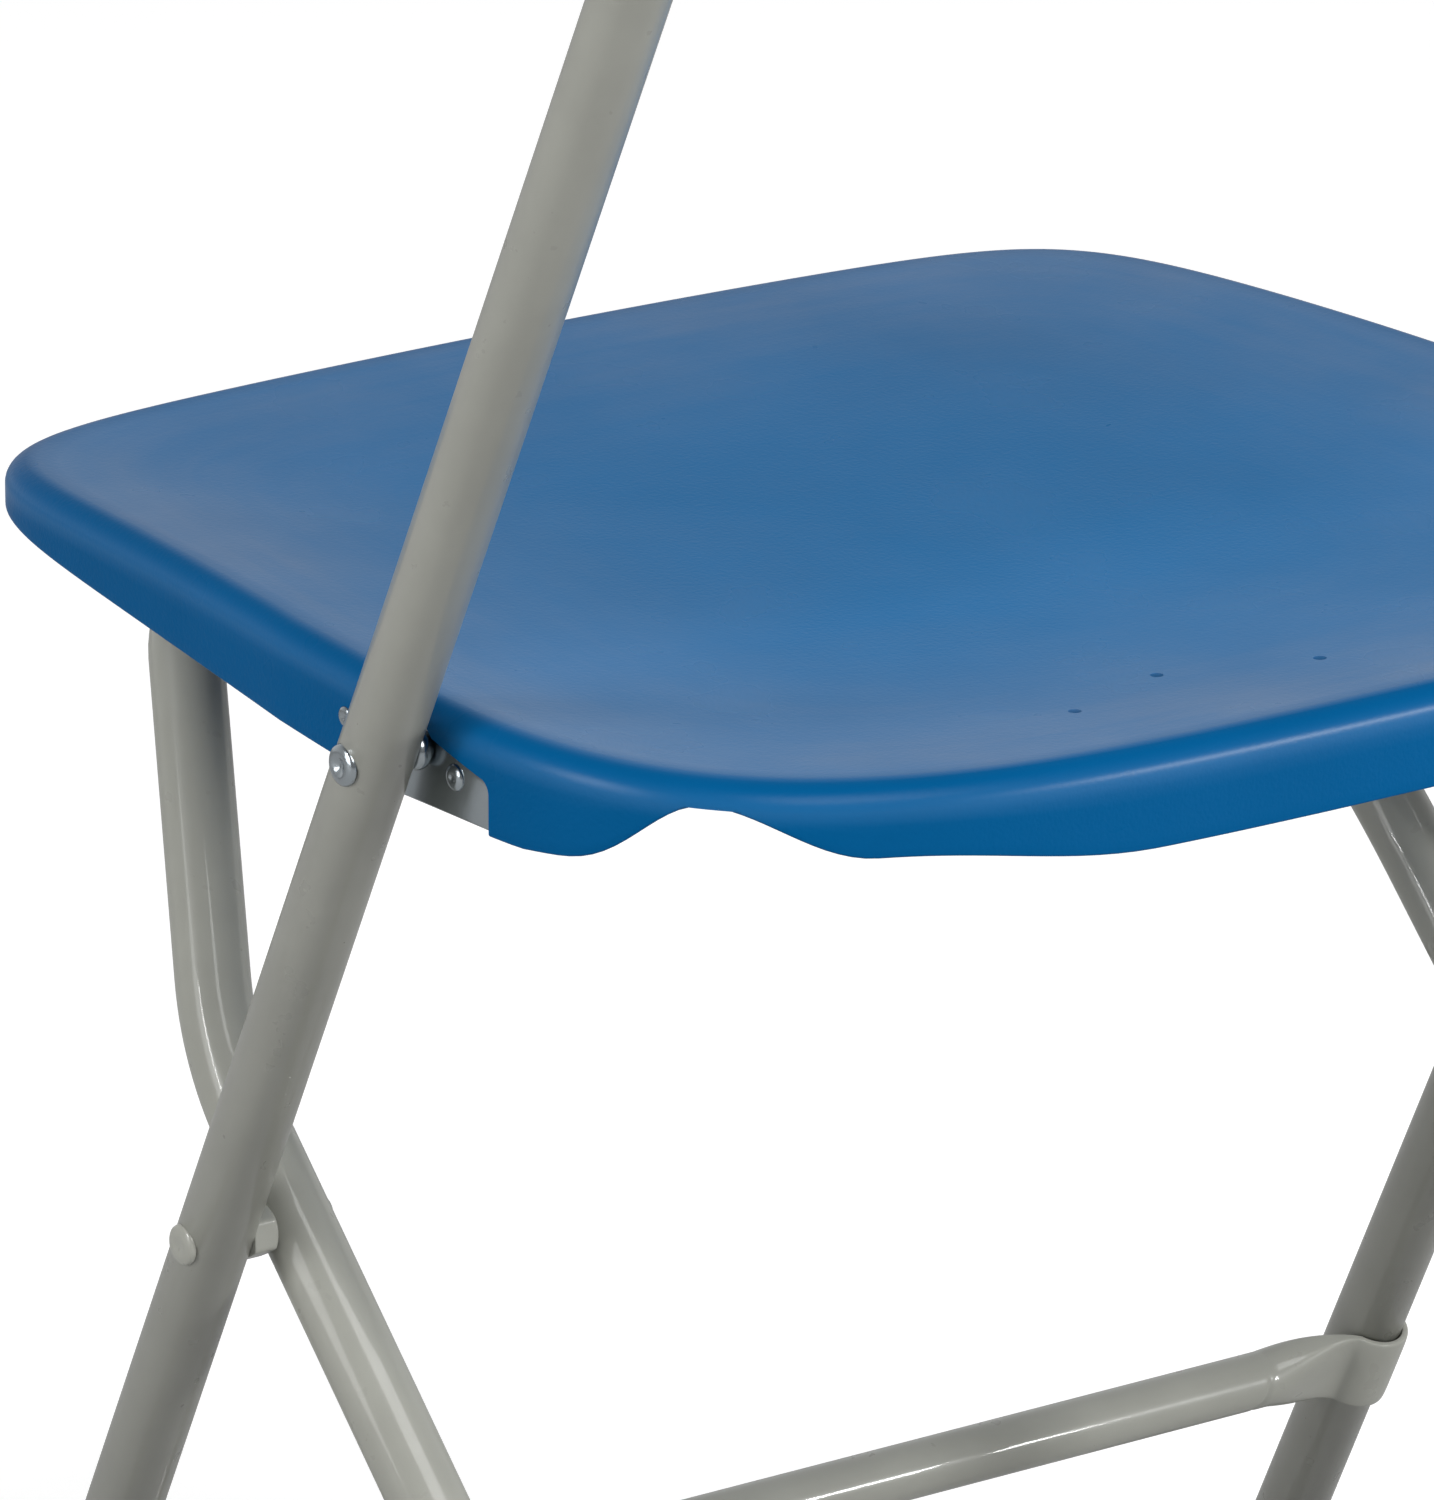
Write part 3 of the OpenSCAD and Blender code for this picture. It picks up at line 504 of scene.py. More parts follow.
def plastic_finish(colour):
    """Fine grained moulded plastic; the top of the seat gets a painted sheen, greyer in streaks toward the rim, and
    the rolled rim a painted highlight.
    """
    # colours of painted light on the seat: a sheen added to its top, a highlight on its rolled rim and a grey-blue
    # veil of sheen toward the rim
    painted_sheen_adds, painted_rim_highlight, painted_sheen_colour = (0.004, 0.066, 0.150), (0.10, 0.45, 0.95), (0.25, 0.30, 0.40)
    rim_highlight_share, painted_sheen_share, inner_fade, edge_gloss = 0.07, 0.44, 2.5, 0.32
    material, tree, shader, coords = new_material("seat_plastic")
    flow, worn, rolled = (tree.nodes.new("ShaderNodeAttribute") for _ in range(3))
    flow.attribute_name, worn.attribute_name, rolled.attribute_name = "flow", "worn", "rolled"
    share = tree.nodes.new("ShaderNodeSeparateXYZ")
    tree.links.new(flow.outputs["Vector"], share.inputs["Vector"])
    # painted sheen: the colour of the top of the seat is lifted toward a paler blue where its mask is set
    sheen_lit_top = tuple(sum(pair) for pair in zip(colour, painted_sheen_adds))
    top = mixed(tree, worn.outputs["Fac"], colour, sheen_lit_top)
    # painted highlight: the rolled rim is mixed toward a bright blue
    edge = mixed(tree, sums(tree, "MULTIPLY", rolled.outputs["Fac"], rim_highlight_share), top, painted_rim_highlight)
    base = effect(tree, "uneven_surface", Vector=coords, Colour=edge, Darker=0.95, Lighter=1.04,
                  Smooth=0.26, Rough=0.34, Scale=9)
    # painted sheen: a grey-blue veil in streaks over the top of the seat, stronger toward the rim
    stretch = tree.nodes.new("ShaderNodeMapping")
    stretch.inputs["Scale"].default_value = (22, 2.0, 2.0)
    tree.links.new(flow.outputs["Vector"], stretch.inputs["Vector"])
    streaks = ranged(tree, noise(tree, stretch.outputs["Vector"], 1.0, 4, 0.6), 0.35, 0.70, 0.80, 1.1)
    clouds = ranged(tree, noise(tree, coords, 11, 4, 0.6), 0.35, 0.65, 0.70, 1.1)
    outer = sums(tree, "POWER", share.outputs["X"], inner_fade)
    sheen_amount = sums(tree, "MULTIPLY", sums(tree, "MULTIPLY", streaks, clouds), outer)
    sheen_amount = sums(tree, "MULTIPLY", sums(tree, "MULTIPLY", sheen_amount, painted_sheen_share), worn.outputs["Fac"])
    sheened_colour = mixed(tree, sheen_amount, base["Colour"], painted_sheen_colour)
    grain = effect(tree, "fine_grain", Vector=coords, Scale=620, Pebbles=0.6)
    cover(tree, shader, sheened_colour, base["Roughness"], bump(tree, grain["Height"], 0.22, 0.0003))
    shader.inputs["Specular IOR Level"].default_value = 0.03
    tree.links.new(sums(tree, "MULTIPLY", rolled.outputs["Fac"], edge_gloss), shader.inputs["Coat Weight"])
    shader.inputs["Coat Roughness"].default_value = 0.33
    return material


def zinc_finish(colour):
    """Bright zinc plate with fine brushed marks and a dull bloom."""
    material, tree, shader, coords = new_material("zinc_plate")
    stretch = tree.nodes.new("ShaderNodeMapping")
    stretch.inputs["Scale"].default_value = (1, 0.06, 1)
    tree.links.new(coords, stretch.inputs["Vector"])
    base = effect(tree, "uneven_surface", Vector=coords, Colour=colour, Darker=0.95, Lighter=1.05,
                  Smooth=0.19, Rough=0.25, Scale=40)
    marks = effect(tree, "fine_grain", Vector=stretch.outputs["Vector"], Scale=1300, Pebbles=0.0)
    cover(tree, shader, base["Colour"], base["Roughness"], bump(tree, marks["Height"], 0.015, 0.0002))
    shader.inputs["Metallic"].default_value = 1.0
    return material


def foot_finish(colour):
    """Matt grey plastic, scuffed toward the floor."""
    material, tree, shader, coords = new_material("foot_plastic")
    height = tree.nodes.new("ShaderNodeSeparateXYZ")
    tree.links.new(coords, height.inputs["Vector"])
    scuffed_to = 0.014
    low = ranged(tree, height.outputs["Z"], 0.0, scuffed_to, 0.8, 0.1)
    base = effect(tree, "uneven_surface", Vector=coords, Colour=colour, Darker=0.92, Lighter=1.06,
                  Smooth=0.55, Rough=0.68, Scale=60)
    scuffs = effect(tree, "specks", Vector=coords, Colour=base["Colour"], Speck=shade(colour, 1.9),
                    Amount=low, Cover=0.22, Scale=240)
    grain = effect(tree, "fine_grain", Vector=coords, Scale=700, Pebbles=0.4)
    cover(tree, shader, scuffs["Colour"], base["Roughness"], bump(tree, grain["Height"], 0.15, 0.0003))
    return material


FINISHES = {}


def finish(name):
    """One of the four finishes, made when first asked for."""
    colours = bpy.context.scene.chair_colours
    makers = {"paint": paint_finish, "plastic": plastic_finish, "zinc": zinc_finish, "foot": foot_finish}
    if name not in FINISHES:
        FINISHES[name] = makers[name](tuple(getattr(colours, name)))
    return FINISHES[name]


# ---------------------------------------------------------------- seat

def bell(distance, reach):
    """A smooth bump of height one over a reach."""
    return (1 + math.cos(math.pi * distance / reach)) / 2 if distance < reach else 0.0


class SeatShape:
    """The rule of the seat's shape, the same as in its construction."""

    NOTCH_WAY = math.radians(42.8)
    SKIRT_CHANGE = 0.3
    LEAST_SKIRT = 0.0002
    DISH_POWER = 2.3
    CROWDING = 0.105
    LIP = 0.0008
    # waves of the skirt's lower edge near a rear corner: height, ways across and along, and reach, all as shares
    WAVES = ((1, 0, 0, 1), (-0.326, 0.17, -0.36, 0.53), (0.455, -0.952, 0.265, 1.667))

    def __init__(self, scene, chair):
        self.q = scene.chair_seat
        self.y = chair.seat_y
        self.notch_at = self.plan(self.NOTCH_WAY, 0)

    def reach(self, a):
        """Way from the middle to the outline of a rounded square, whose front and rear corners differ."""
        n = self.q.rear_square if math.sin(a) > 0 else self.q.front_square
        return (abs(math.cos(a)) ** n + abs(math.sin(a)) ** n) ** (-1 / n)

    def across(self, a):
        """Place across as a share of half the width, narrower at the front and wider at the rear."""
        v = self.along(a)
        return math.cos(a) * self.reach(a) * (1 + v * (self.q.front_narrow if v < 0 else self.q.rear_wide))

    def along(self, a):
        """Place along as a share of half the depth."""
        return math.sin(a) * self.reach(a)

    def plan(self, a, inset):
        """Place of the outline seen from above, set in by a length."""
        return ((self.q.half_width - inset) * self.across(a),
                self.y + (self.q.half_depth - inset) * self.along(a))

    def rim(self, x, y):
        """Height of the rim's top at a place; its corners turn up at the rear and down at the front."""
        u, v = x / self.q.half_width, (y - self.y) / self.q.half_depth
        return (self.q.rim_height - (y - self.y) * math.tan(self.q.fall) - self.q.rim_curve * v * v
                + self.q.corner_turn * u * u * v * abs(v))

    def rim_at(self, a):
        """Height of the rim's top in a direction."""
        return self.rim(*self.plan(a, self.q.edge))

    def skirt(self, a):
        """Height of the skirt's lower edge, with its cut-outs near the rear corners."""
        q = self.q
        x, y = self.plan(a, 0)
        v = self.along(a)
        dx, dy = abs(x) - self.notch_at[0], y - self.notch_at[1]
        reach, change = q.notch_reach, self.SKIRT_CHANGE
        low = self.rim(x, y) - q.skirt * (1 + change * v - change * v * v)
        for high, out, back, wide in self.WAVES:
            low += q.notch * high * bell(math.hypot(dx - reach * out, dy - reach * back), reach * wide)
        return min(self.rim_at(a) - q.edge - self.LEAST_SKIRT, low)

    def top(self, a, share):
        """Height of the dished top at a share of the way to its rim."""
        x, y = self.plan(a, self.q.edge)
        return self.rim(x * share, y * share + self.y * (1 - share)) - self.q.dish * (1 - share ** self.DISH_POWER)

    def turn(self, steps, i):
        """The angles lie closer at the corners."""
        t = 2 * math.pi * i / steps
        return t + self.CROWDING * math.sin(4 * t)

    def ring(self, steps, inset, height, share=1.0):
        """A ring round the seat, drawn in to a share of its size."""
        out = []
        for i in range(steps):
            a = self.turn(steps, i)
            x, y = self.plan(a, inset)
            out.append(Vector((x * share, self.y + (y - self.y) * share, height(a))))
        return out

    def disc(self, steps, share, drop=0.0):
        """A ring on the top, or below it by a drop."""
        return self.ring(steps, self.q.edge, lambda a: self.top(a, share) - drop, share)

    def mark_painted_light(self, mesh):
        """Stores the top that gets a painted sheen, the rolled rim that gets a painted highlight, and the way along
        the rim that the sheen's streaks follow.
        """
        q = self.q
        top_depth, sheen_top_to, sheen_top_fade = 0.0012, 0.99, 40
        roll_from, roll_depth, roll_reach = 0.97, 0.0062, 0.0050
        mesh.attributes.new("flow", "FLOAT_VECTOR", "POINT")
        mesh.attributes.new("worn", "FLOAT", "POINT")
        mesh.attributes.new("rolled", "FLOAT", "POINT")
        flow, worn, rolled = (mesh.attributes[name] for name in ("flow", "worn", "rolled"))
        for i, vert in enumerate(mesh.vertices):
            x, y, z = vert.co
            v = (y - self.y) / (q.half_depth - q.edge)
            u = x / (q.half_width - q.edge) / (1 + v * (q.front_narrow if v < 0 else q.rear_wide))
            n = q.rear_square if v > 0 else q.front_square
            share = (abs(u) ** n + abs(v) ** n) ** (1 / n)
            above = z - self.rim(x, y) + q.dish * (1 - min(1.0, share) ** self.DISH_POWER)
            flow.data[i].vector = (share, u, v)
            # mask of the top's painted sheen
            on_top = max(0.0, min(1.0, 1 - (share - sheen_top_to) * sheen_top_fade))
            worn.data[i].value = 0.0 if above < -top_depth else on_top
            rolled.data[i].value = bell(abs(above + roll_depth), roll_reach) if share > roll_from else 0.0

    def rings(self, steps):
        """Rings from the middle of the top over the rim and the skirt to the middle of the underside."""
        q, rim_at, lip = self.q, self.rim_at, self.LIP
        top_rings, edge_rings, side_rings, lip_rings, under_rings = 36, 12, 5, 4, 5
        shares = [0.02, 0.05] + [0.05 + 0.95 * k / top_rings for k in range(1, top_rings + 1)]
        out = [self.disc(steps, s) for s in shares]
        for k in range(1, edge_rings + 1):
            t = math.pi / 2 * k / edge_rings
            out.append(self.ring(steps, q.edge * (1 - math.sin(t)),
                                 lambda a, t=t: rim_at(a) - q.edge * (1 - math.cos(t))))
        for k in range(1, side_rings + 1):
            f = k / (side_rings + 1)
            out.append(self.ring(steps, 0, lambda a, f=f: (rim_at(a) - q.edge) * (1 - f) + (self.skirt(a) + lip) * f))
        for k in range(lip_rings + 1):
            t = math.pi / 2 * k / lip_rings
            out.append(self.ring(steps, lip * (1 - math.cos(t)),
                                 lambda a, t=t: self.skirt(a) + lip * (1 - math.sin(t))))
        for k in range(lip_rings + 1):
            t = math.pi / 2 * k / lip_rings
            out.append(self.ring(steps, q.wall - lip * (1 - math.sin(t)),
                                 lambda a, t=t: self.skirt(a) + lip * (1 - math.cos(t))))
        out.append(self.ring(steps, q.wall, lambda a: rim_at(a) - q.edge))
        for k in range(1, under_rings):
            t = math.pi / 2 * k / under_rings
            out.append(self.ring(steps, q.wall + (q.edge - q.wall) * (1 - math.cos(t)),
                                 lambda a, t=t: rim_at(a) - q.edge + (q.edge - q.wall) * math.sin(t)))
        out += [self.disc(steps, s, q.wall) for s in (1, 0.9, 0.8, 0.65, 0.5, 0.35, 0.2, 0.05)]
        return out


def cutter(parts):
    """A helper object for a cut."""
    return piece("cutter", *join_skins(parts), shaded=False)


def rod(start, end, radius, sides):
    """A plain round bar."""
    axis = Vector(end) - Vector(start)
    return skin(lathe([(radius, 0), (radius, axis.length)], start, axis, sides))


def cut(obj, tool):
    """Cuts a piece with a helper and removes the helper."""
    mod = obj.modifiers.new("cut", "BOOLEAN")
    mod.object = tool
    mod.operation = "DIFFERENCE"
    mod.solver = "EXACT"
    bake(obj)
    bpy.data.objects.remove(tool)


def plate_points(grow, front):
    """Side view of a bracket about the seat pivot in millimetres, grown outwards; front cuts it off there."""
    back, low, high, far = 28 + grow, -15 - grow, 7 + grow, -38 - grow
    round_at, round_turn, steps = -5, 62, 8
    pts = [(far, -8 - grow), (-12, low), (back, low), (back, round_at)]
    radius = 3 + grow
    for k in range(1, steps + 1):
        a = math.radians(k * round_turn / steps)
        pts.append((back - radius + radius * math.cos(a), round_at + radius * math.sin(a)))
    pts += [(1, high - 2), (-8, high + 0.3), (far, high - 1)]
    if front is not None:
        pts = [(front, low)] + [p for p in pts[2:] if p[0] > front] + [(front, high)]
    return pts


def plate_skin(chair, grow, x0, x1, front=None):
    """A bracket's side view as a solid between two planes."""
    y1, z1 = chair.seat_pivot_y, chair.s.seat_pivot
    pts = plate_points(grow, front)
    n = len(pts)
    verts = [Vector((x, y1 + u / 1000, z1 + v / 1000)) for x in (x1, x0) for u, v in pts]
    faces = [tuple(range(n)), tuple(range(2 * n - 1, n - 1, -1))]
    faces += [(i, i + n, (i + 1) % n + n, (i + 1) % n) for i in range(n)]
    return verts, faces


class CHAIR_OT_seat(bpy.types.Operator):
    """Moulded seat with its rolled rim, skirt, corner cut-outs and drain holes"""

    bl_idname = "chair.seat"
    bl_label = "Seat"

    def execute(self, context):
        chair = Chair(context.scene)
        shape = SeatShape(context.scene, chair)
        seat = piece("moulded_seat", *skin(shape.rings(320)))
        q = shape.q
        # drain holes, as shares of half the width and half the depth
        drains = ((0.294, 0.783), (0.115, 0.71), (-0.092, 0.783))
        low, high = 0.38, 0.45
        places = [(q.half_width * across, shape.y + q.half_depth * along) for across, along in drains]
        cut(seat, cutter([rod((x, y, low), (x, y, high), q.drain / 2, 24) for x, y in places]))
        y1, z1 = chair.seat_pivot_y, chair.s.seat_pivot
        # room round a bracket and in its opening in millimetres, and the front end of that opening
        room, wide_room, opening_from = 0.8, 1.2, -20
        past, step, pocket_depth, pocket_radius = 0.00005, 0.00002, 0.0032, 0.008
        for side in (1, -1):
            recess = plate_skin(chair, room, chair.plate_in, chair.plate_out + past)
            opening = plate_skin(chair, wide_room, chair.plate_in + step, chair.up_x, opening_from)
            pocket = rod((chair.plate_in - pocket_depth, y1, z1), (chair.up_x, y1, z1), pocket_radius, 48)
            for tool in (recess, opening, pocket):
                cut(seat, cutter([tool if side > 0 else mirrored(tool)]))
        smooth(seat, 38)
        shape.mark_painted_light(seat.data)
        put(seat, "seat", finish("plastic"), "seat_shell", slot="plastic")
        return {"FINISHED"}


# ---------------------------------------------------------------- backrest

class CHAIR_OT_back(bpy.types.Operator):
    """Curved backrest with rounded corners and edges"""

    bl_idname = "chair.back"
    bl_label = "Backrest"

    def execute(self, context):
        chair = Chair(context.scene)
        width, height, corner, thick, curve = 0.436, chair.s.back_height, 0.028, 0.005, 0.017
        middle = chair.back_s
        half = width / 2
        radius = (half * half + curve * curve) / (2 * curve)
        before_tube = 0.010
        lift = before_tube + math.sqrt(radius * radius - chair.up_x ** 2)

        def outline(inset, count=28, straight=40):
            """Points round the backrest, set in by a length."""
            pts = []
            w, h, r = half - inset, height / 2 - inset, max(corner - inset, 0.0005)
            for cx, cy, start in ((w - r, h - r, 0), (r - w, h - r, 90), (r - w, r - h, 180), (w - r, r - h, 270)):
                for k in range(count + 1):
                    a = math.radians(start + 90 * k / count)
                    pts.append((cx + r * math.cos(a), cy + r * math.sin(a)))
                # straight edges get points of their own, so that they follow the curve
                nx, ny = pts[-1]
                tx, ty = {0: (r - w, h), 90: (-w, r - h), 180: (w - r, -h), 270: (w, h - r)}[start]
                for k in range(1, straight):
                    pts.append((nx + (tx - nx) * k / straight, ny + (ty - ny) * k / straight))
            return pts

        def ring(inset, share, deep):
            """The outline drawn in to a share of its size, on the curve at a depth."""
            out = []
            for x, y in outline(inset):
                x, y = x * share, y * share
                m = lift - math.sqrt((radius - deep) ** 2 - x * x)
                out.append(chair.main(x, middle + y, m))
            return out

        edge, edge_steps = thick / 2, 12
        shares = (0.03, 0.15, 0.3, 0.45, 0.6, 0.75, 0.88, 0.96, 1)
        rings = [ring(edge, s, thick) for s in shares]
        for k in range(1, edge_steps):
            t = math.pi * k / edge_steps
            rings.append(ring(edge * (1 - math.sin(t)), 1, edge + edge * math.cos(t)))
        rings += [ring(edge, s, 0) for s in reversed(shares)]
        back = piece("curved_back", *skin(rings))
        hair = 0.00005
        cut(back, tube("room", chair.main_route(), chair.s.tube_radius + hair))
        smooth(back)
        put(back, "frame", finish("plastic"), "back_panel", slot="plastic")
        return {"FINISHED"}


# ---------------------------------------------------------------- tubes

class CHAIR_OT_tubes(bpy.types.Operator):
    """Main frame tube and rear frame tube"""

    bl_idname = "chair.tubes"
    bl_label = "Frame tubes"

    def execute(self, context):
        chair = Chair(context.scene)
        radius = chair.s.tube_radius
        put(tube("main_tube", chair.main_route(), radius), "frame", finish("paint"), "main_frame", slot="paint")
        put(tube("rear_tube", chair.rear_route(), radius), "rear_legs", finish("paint"), "rear_frame", slot="paint")
        return {"FINISHED"}


def crossbar(place, side, radius, bar, sides=64):
    """A crossbar whose flattened ends wrap the rear half of each leg; place maps x, rear and up."""
    # half the thickness and height of a flattened end, and how far the round part lies behind the legs' axes
    flat, tall, mid = 0.0012, 0.0122, 0.002
    # how high the round part and the start of the wrap lie, and how far the wrap falls to its end
    raised, tilt, fall = 0.0008, 0.0022, 0.0029
    round_power, flat_power = 2.0, 6.0
    crease_depth, crease_reach, crease_slant = 0.0005, 0.0008, 0.35
    end_from, end_trim = 0.86, 0.0055
    start = side - 0.036
    pinch = start - 0.004
    near, close = pinch - 0.006, 0.0005
    places = [k / 5 * near for k in range(5)] + [near + k * close for k in range(20)]
    stations = [(x, mid, 0.0, bar, bar, round_power, raised, 0.0) for x in places]
    wrap = radius + flat
    turn0, turn1, wrap_steps = math.radians(48), math.radians(-84), 32
    end_x, end_y = side - wrap * math.sin(turn0), wrap * math.cos(turn0)
    count = 22
    p0, p1 = Vector((start, mid)), Vector((end_x, end_y))
    t0, t1 = Vector((1, 0)), Vector((math.cos(turn0), math.sin(turn0)))
    reach = (p1 - p0).length
    for k in range(count + 1):
        f = k / count
        h = (2 * f ** 3 - 3 * f ** 2 + 1, f ** 3 - 2 * f ** 2 + f, -2 * f ** 3 + 3 * f ** 2, f ** 3 - f ** 2)
        p = p0 * h[0] + t0 * (h[1] * reach) + p1 * h[2] + t1 * (h[3] * reach * 0.6)
        d = (p0 * (6 * f * f - 6 * f) + t0 * ((3 * f * f - 4 * f + 1) * reach) + p1 * (6 * f - 6 * f * f)
             + t1 * ((3 * f * f - 2 * f) * reach * 0.6))
        ease = f * f * (3 - 2 * f)
        rise = f ** 0.8
        stations.append((p.x, p.y, math.atan2(d.y, d.x), bar + (flat - bar) * ease, bar + (tall - bar) * rise,
                         round_power + (flat_power - round_power) * ease, raised + (tilt - raised) * ease, 0.0))
    for k in range(1, wrap_steps + 1):
        f = k / wrap_steps
        a = turn0 - f * (turn0 - turn1)
        trim = end_trim * max(0.0, (f - end_from) / (1 - end_from))
        stations.append((side - wrap * math.sin(a), wrap * math.cos(a), a, flat, tall, flat_power, tilt - fall * f,
                         trim))
    rings = []
    for x, y, turn, d, h, n, rise, trim in stations:
        ring = []
        for k in range(sides):
            t = 2 * math.pi * k / sides
            c, s = math.cos(t), math.sin(t)
            c = math.copysign(abs(c) ** (2 / n), c) * d
            s = math.copysign(abs(s) ** (2 / n), s) * (h - (trim if s < 0 else 0))
            if c > 0:
                c -= crease_depth * math.exp(-((x - pinch - s * crease_slant) / crease_reach) ** 2) * c / d
            ring.append(place(x - c * math.sin(turn), y + c * math.cos(turn), s + rise))
        rings.append(ring)
    return rings


class CHAIR_OT_crossbars(bpy.types.Operator):
    """Front and rear crossbars with their flattened saddle ends"""

    bl_idname = "chair.crossbars"
    bl_label = "Crossbars"

    def execute(self, context):
        chair = Chair(context.scene)
        s = chair.s
        front_height, rear_down = 0.1164, 0.215
        up = front_height / math.cos(s.lean)
        front = crossbar(lambda x, y, z: chair.main(x, up + z, -y), chair.up_x, s.tube_radius, s.bar_radius)
        rear = crossbar(lambda x, y, z: chair.rear(x, rear_down - z, y), s.leg_x, s.tube_radius, s.bar_radius)
        for name, rings, body, old in (("front_stretcher", front, "frame", "front_crossbar"),
                                       ("rear_stretcher", rear, "rear_legs", "rear_crossbar")):
            whole = [[Vector((-v.x, v.y, v.z)) for v in ring] for ring in reversed(rings[1:])] + rings
            put(piece(name, *skin(whole)), body, finish("paint"), old, slot="paint")
        return {"FINISHED"}


# ---------------------------------------------------------------- rivets

def dome(radius, height, steps=14):
    """The profile of a plain rivet head."""
    ball = (radius * radius + height * height) / (2 * height)
    profile = [(radius * 0.98, -0.0006), (radius, 0)]
    reach = math.asin(min(1, radius / ball))
    for k in range(1, steps):
        t = reach * (1 - k / steps)
        profile.append((ball * math.sin(t), ball * math.cos(t) - (ball - height)))
    return profile


def head_profile(radius, height, share, hollow, steps=24):
    """The profile of a formed head: a round rim about a hollow that fills a share of it."""
    profile = [(radius * 0.97, -0.0008), (radius, -0.0001)]
    for k in range(1, steps):
        f = 1 - k / steps
        h = height * math.sqrt(1 - f ** 2.6)
        if f < share:
            h -= hollow * bell(f, share)
        profile.append((radius * f, h))
    return profile


def nut(origin, length, flat, turn, rings=10):
    """A collar along X with six soft sides and rounded ends."""
    out = []
    corner = flat / math.cos(math.pi / 6)
    round_share, virtual_length, end_share, blunt, squash, sides = 0.3, length * 1.4, 0.88, 0.975, 0.86, 72
    for j in range(rings + 1):
        h = length * j / rings
        near = min(h, virtual_length - h) / (length * round_share)
        limit = corner * (end_share + (1 - end_share) * math.sqrt(1 - (1 - min(1.0, near)) ** 2))
        ring = []
        for k in range(sides):
            a = 2 * math.pi * k / sides
            side = (a - turn) % (math.pi / 3) - math.pi / 6
            rad = min(flat / math.cos(side), limit, corner * blunt)
            ring.append(Vector(origin) + Vector((h, rad * math.cos(a), rad * math.sin(a) * squash)))
        out.append(ring)
    return skin(out)


def scatter(name, prototype, places):
    """Sets copies of a small part at places, each a point and a direction, with geometry nodes."""
    mesh = bpy.data.meshes.new(name + "_places")
    mesh.from_pydata([tuple(p) for p, _ in places], [], [])
    aim = mesh.attributes.new("aim", "FLOAT_VECTOR", "POINT")
    for i, (_, direction) in enumerate(places):
        aim.data[i].vector = Vector(direction).normalized()
    obj = bpy.data.objects.new(name, mesh)
    bpy.context.scene.collection.objects.link(obj)
    tree = bpy.data.node_groups.new(name + "_tree", "GeometryNodeTree")
    tree.interface.new_socket("Geometry", in_out="INPUT", socket_type="NodeSocketGeometry")
    size = tree.interface.new_socket("Size", in_out="INPUT", socket_type="NodeSocketFloat")
    metal = tree.interface.new_socket("Finish", in_out="INPUT", socket_type="NodeSocketMaterial")
    tree.interface.new_socket("Geometry", in_out="OUTPUT", socket_type="NodeSocketGeometry")
    start = tree.nodes.new("NodeGroupInput")
    end = tree.nodes.new("NodeGroupOutput")
    points = tree.nodes.new("GeometryNodeMeshToPoints")
    source = tree.nodes.new("GeometryNodeObjectInfo")
    source.inputs["Object"].default_value = prototype
    read = tree.nodes.new("GeometryNodeInputNamedAttribute")
    read.data_type = "FLOAT_VECTOR"
    read.inputs["Name"].default_value = "aim"
    align = tree.nodes.new("FunctionNodeAlignRotationToVector")
    align.axis = "Z"
    place = tree.nodes.new("GeometryNodeInstanceOnPoints")
    real = tree.nodes.new("GeometryNodeRealizeInstances")
    dress = tree.nodes.new("GeometryNodeSetMaterial")
    link = tree.links.new
    link(start.outputs["Geometry"], points.inputs["Mesh"])
    link(points.outputs["Points"], place.inputs["Points"])
    link(source.outputs["Geometry"], place.inputs["Instance"])
    link(read.outputs["Attribute"], align.inputs["Vector"])
    link(align.outputs["Rotation"], place.inputs["Rotation"])
    link(start.outputs["Size"], place.inputs["Scale"])
    link(place.outputs["Instances"], real.inputs["Geometry"])
    link(real.outputs["Geometry"], dress.inputs["Geometry"])
    link(start.outputs["Finish"], dress.inputs["Material"])
    link(dress.outputs["Geometry"], end.inputs["Geometry"])
    mod = obj.modifiers.new("places", "NODES")
    mod.node_group = tree
    mod[size.identifier] = 1.0
    mod[metal.identifier] = prototype.data.materials[0]
    bake(obj)
    bpy.data.objects.remove(prototype)
    for poly in obj.data.polygons:
        poly.use_smooth = True
    return obj


def proto(material, *profiles):
    """A small turned part on the Z axis, as a pattern for scatter."""
    parts = [skin(lathe(profile, (0, 0, 0), (0, 0, 1))) for profile in profiles]
    obj = piece("pattern", *join_skins(parts))
    obj.data.materials.append(material)
    return obj


def rivet(material, head, sunk, shank, end, tail, tail_at):
    """The pattern of a rivet: its head, let in by a bit, its shank and the head at its far end."""
    return proto(material, [(radius, h - sunk) for radius, h in head], [(shank, end), (shank, 0)],
                 [(radius, tail_at - h) for radius, h in tail])


def on_sides(x, y, z):
    """A place on each side of the chair, facing outwards."""
    return [((side * x, y, z), (side, 0, 0)) for side in (1, -1)]


def merged(name, objects):
    """Makes one piece of several that share a material."""
    mesh = bmesh.new()
    for obj in objects:
        mesh.from_mesh(obj.data)
    one = objects[0]
    mesh.to_mesh(one.data)
    mesh.free()
    for obj in objects[1:]:
        bpy.data.objects.remove(obj)
    one.name = name
    return one


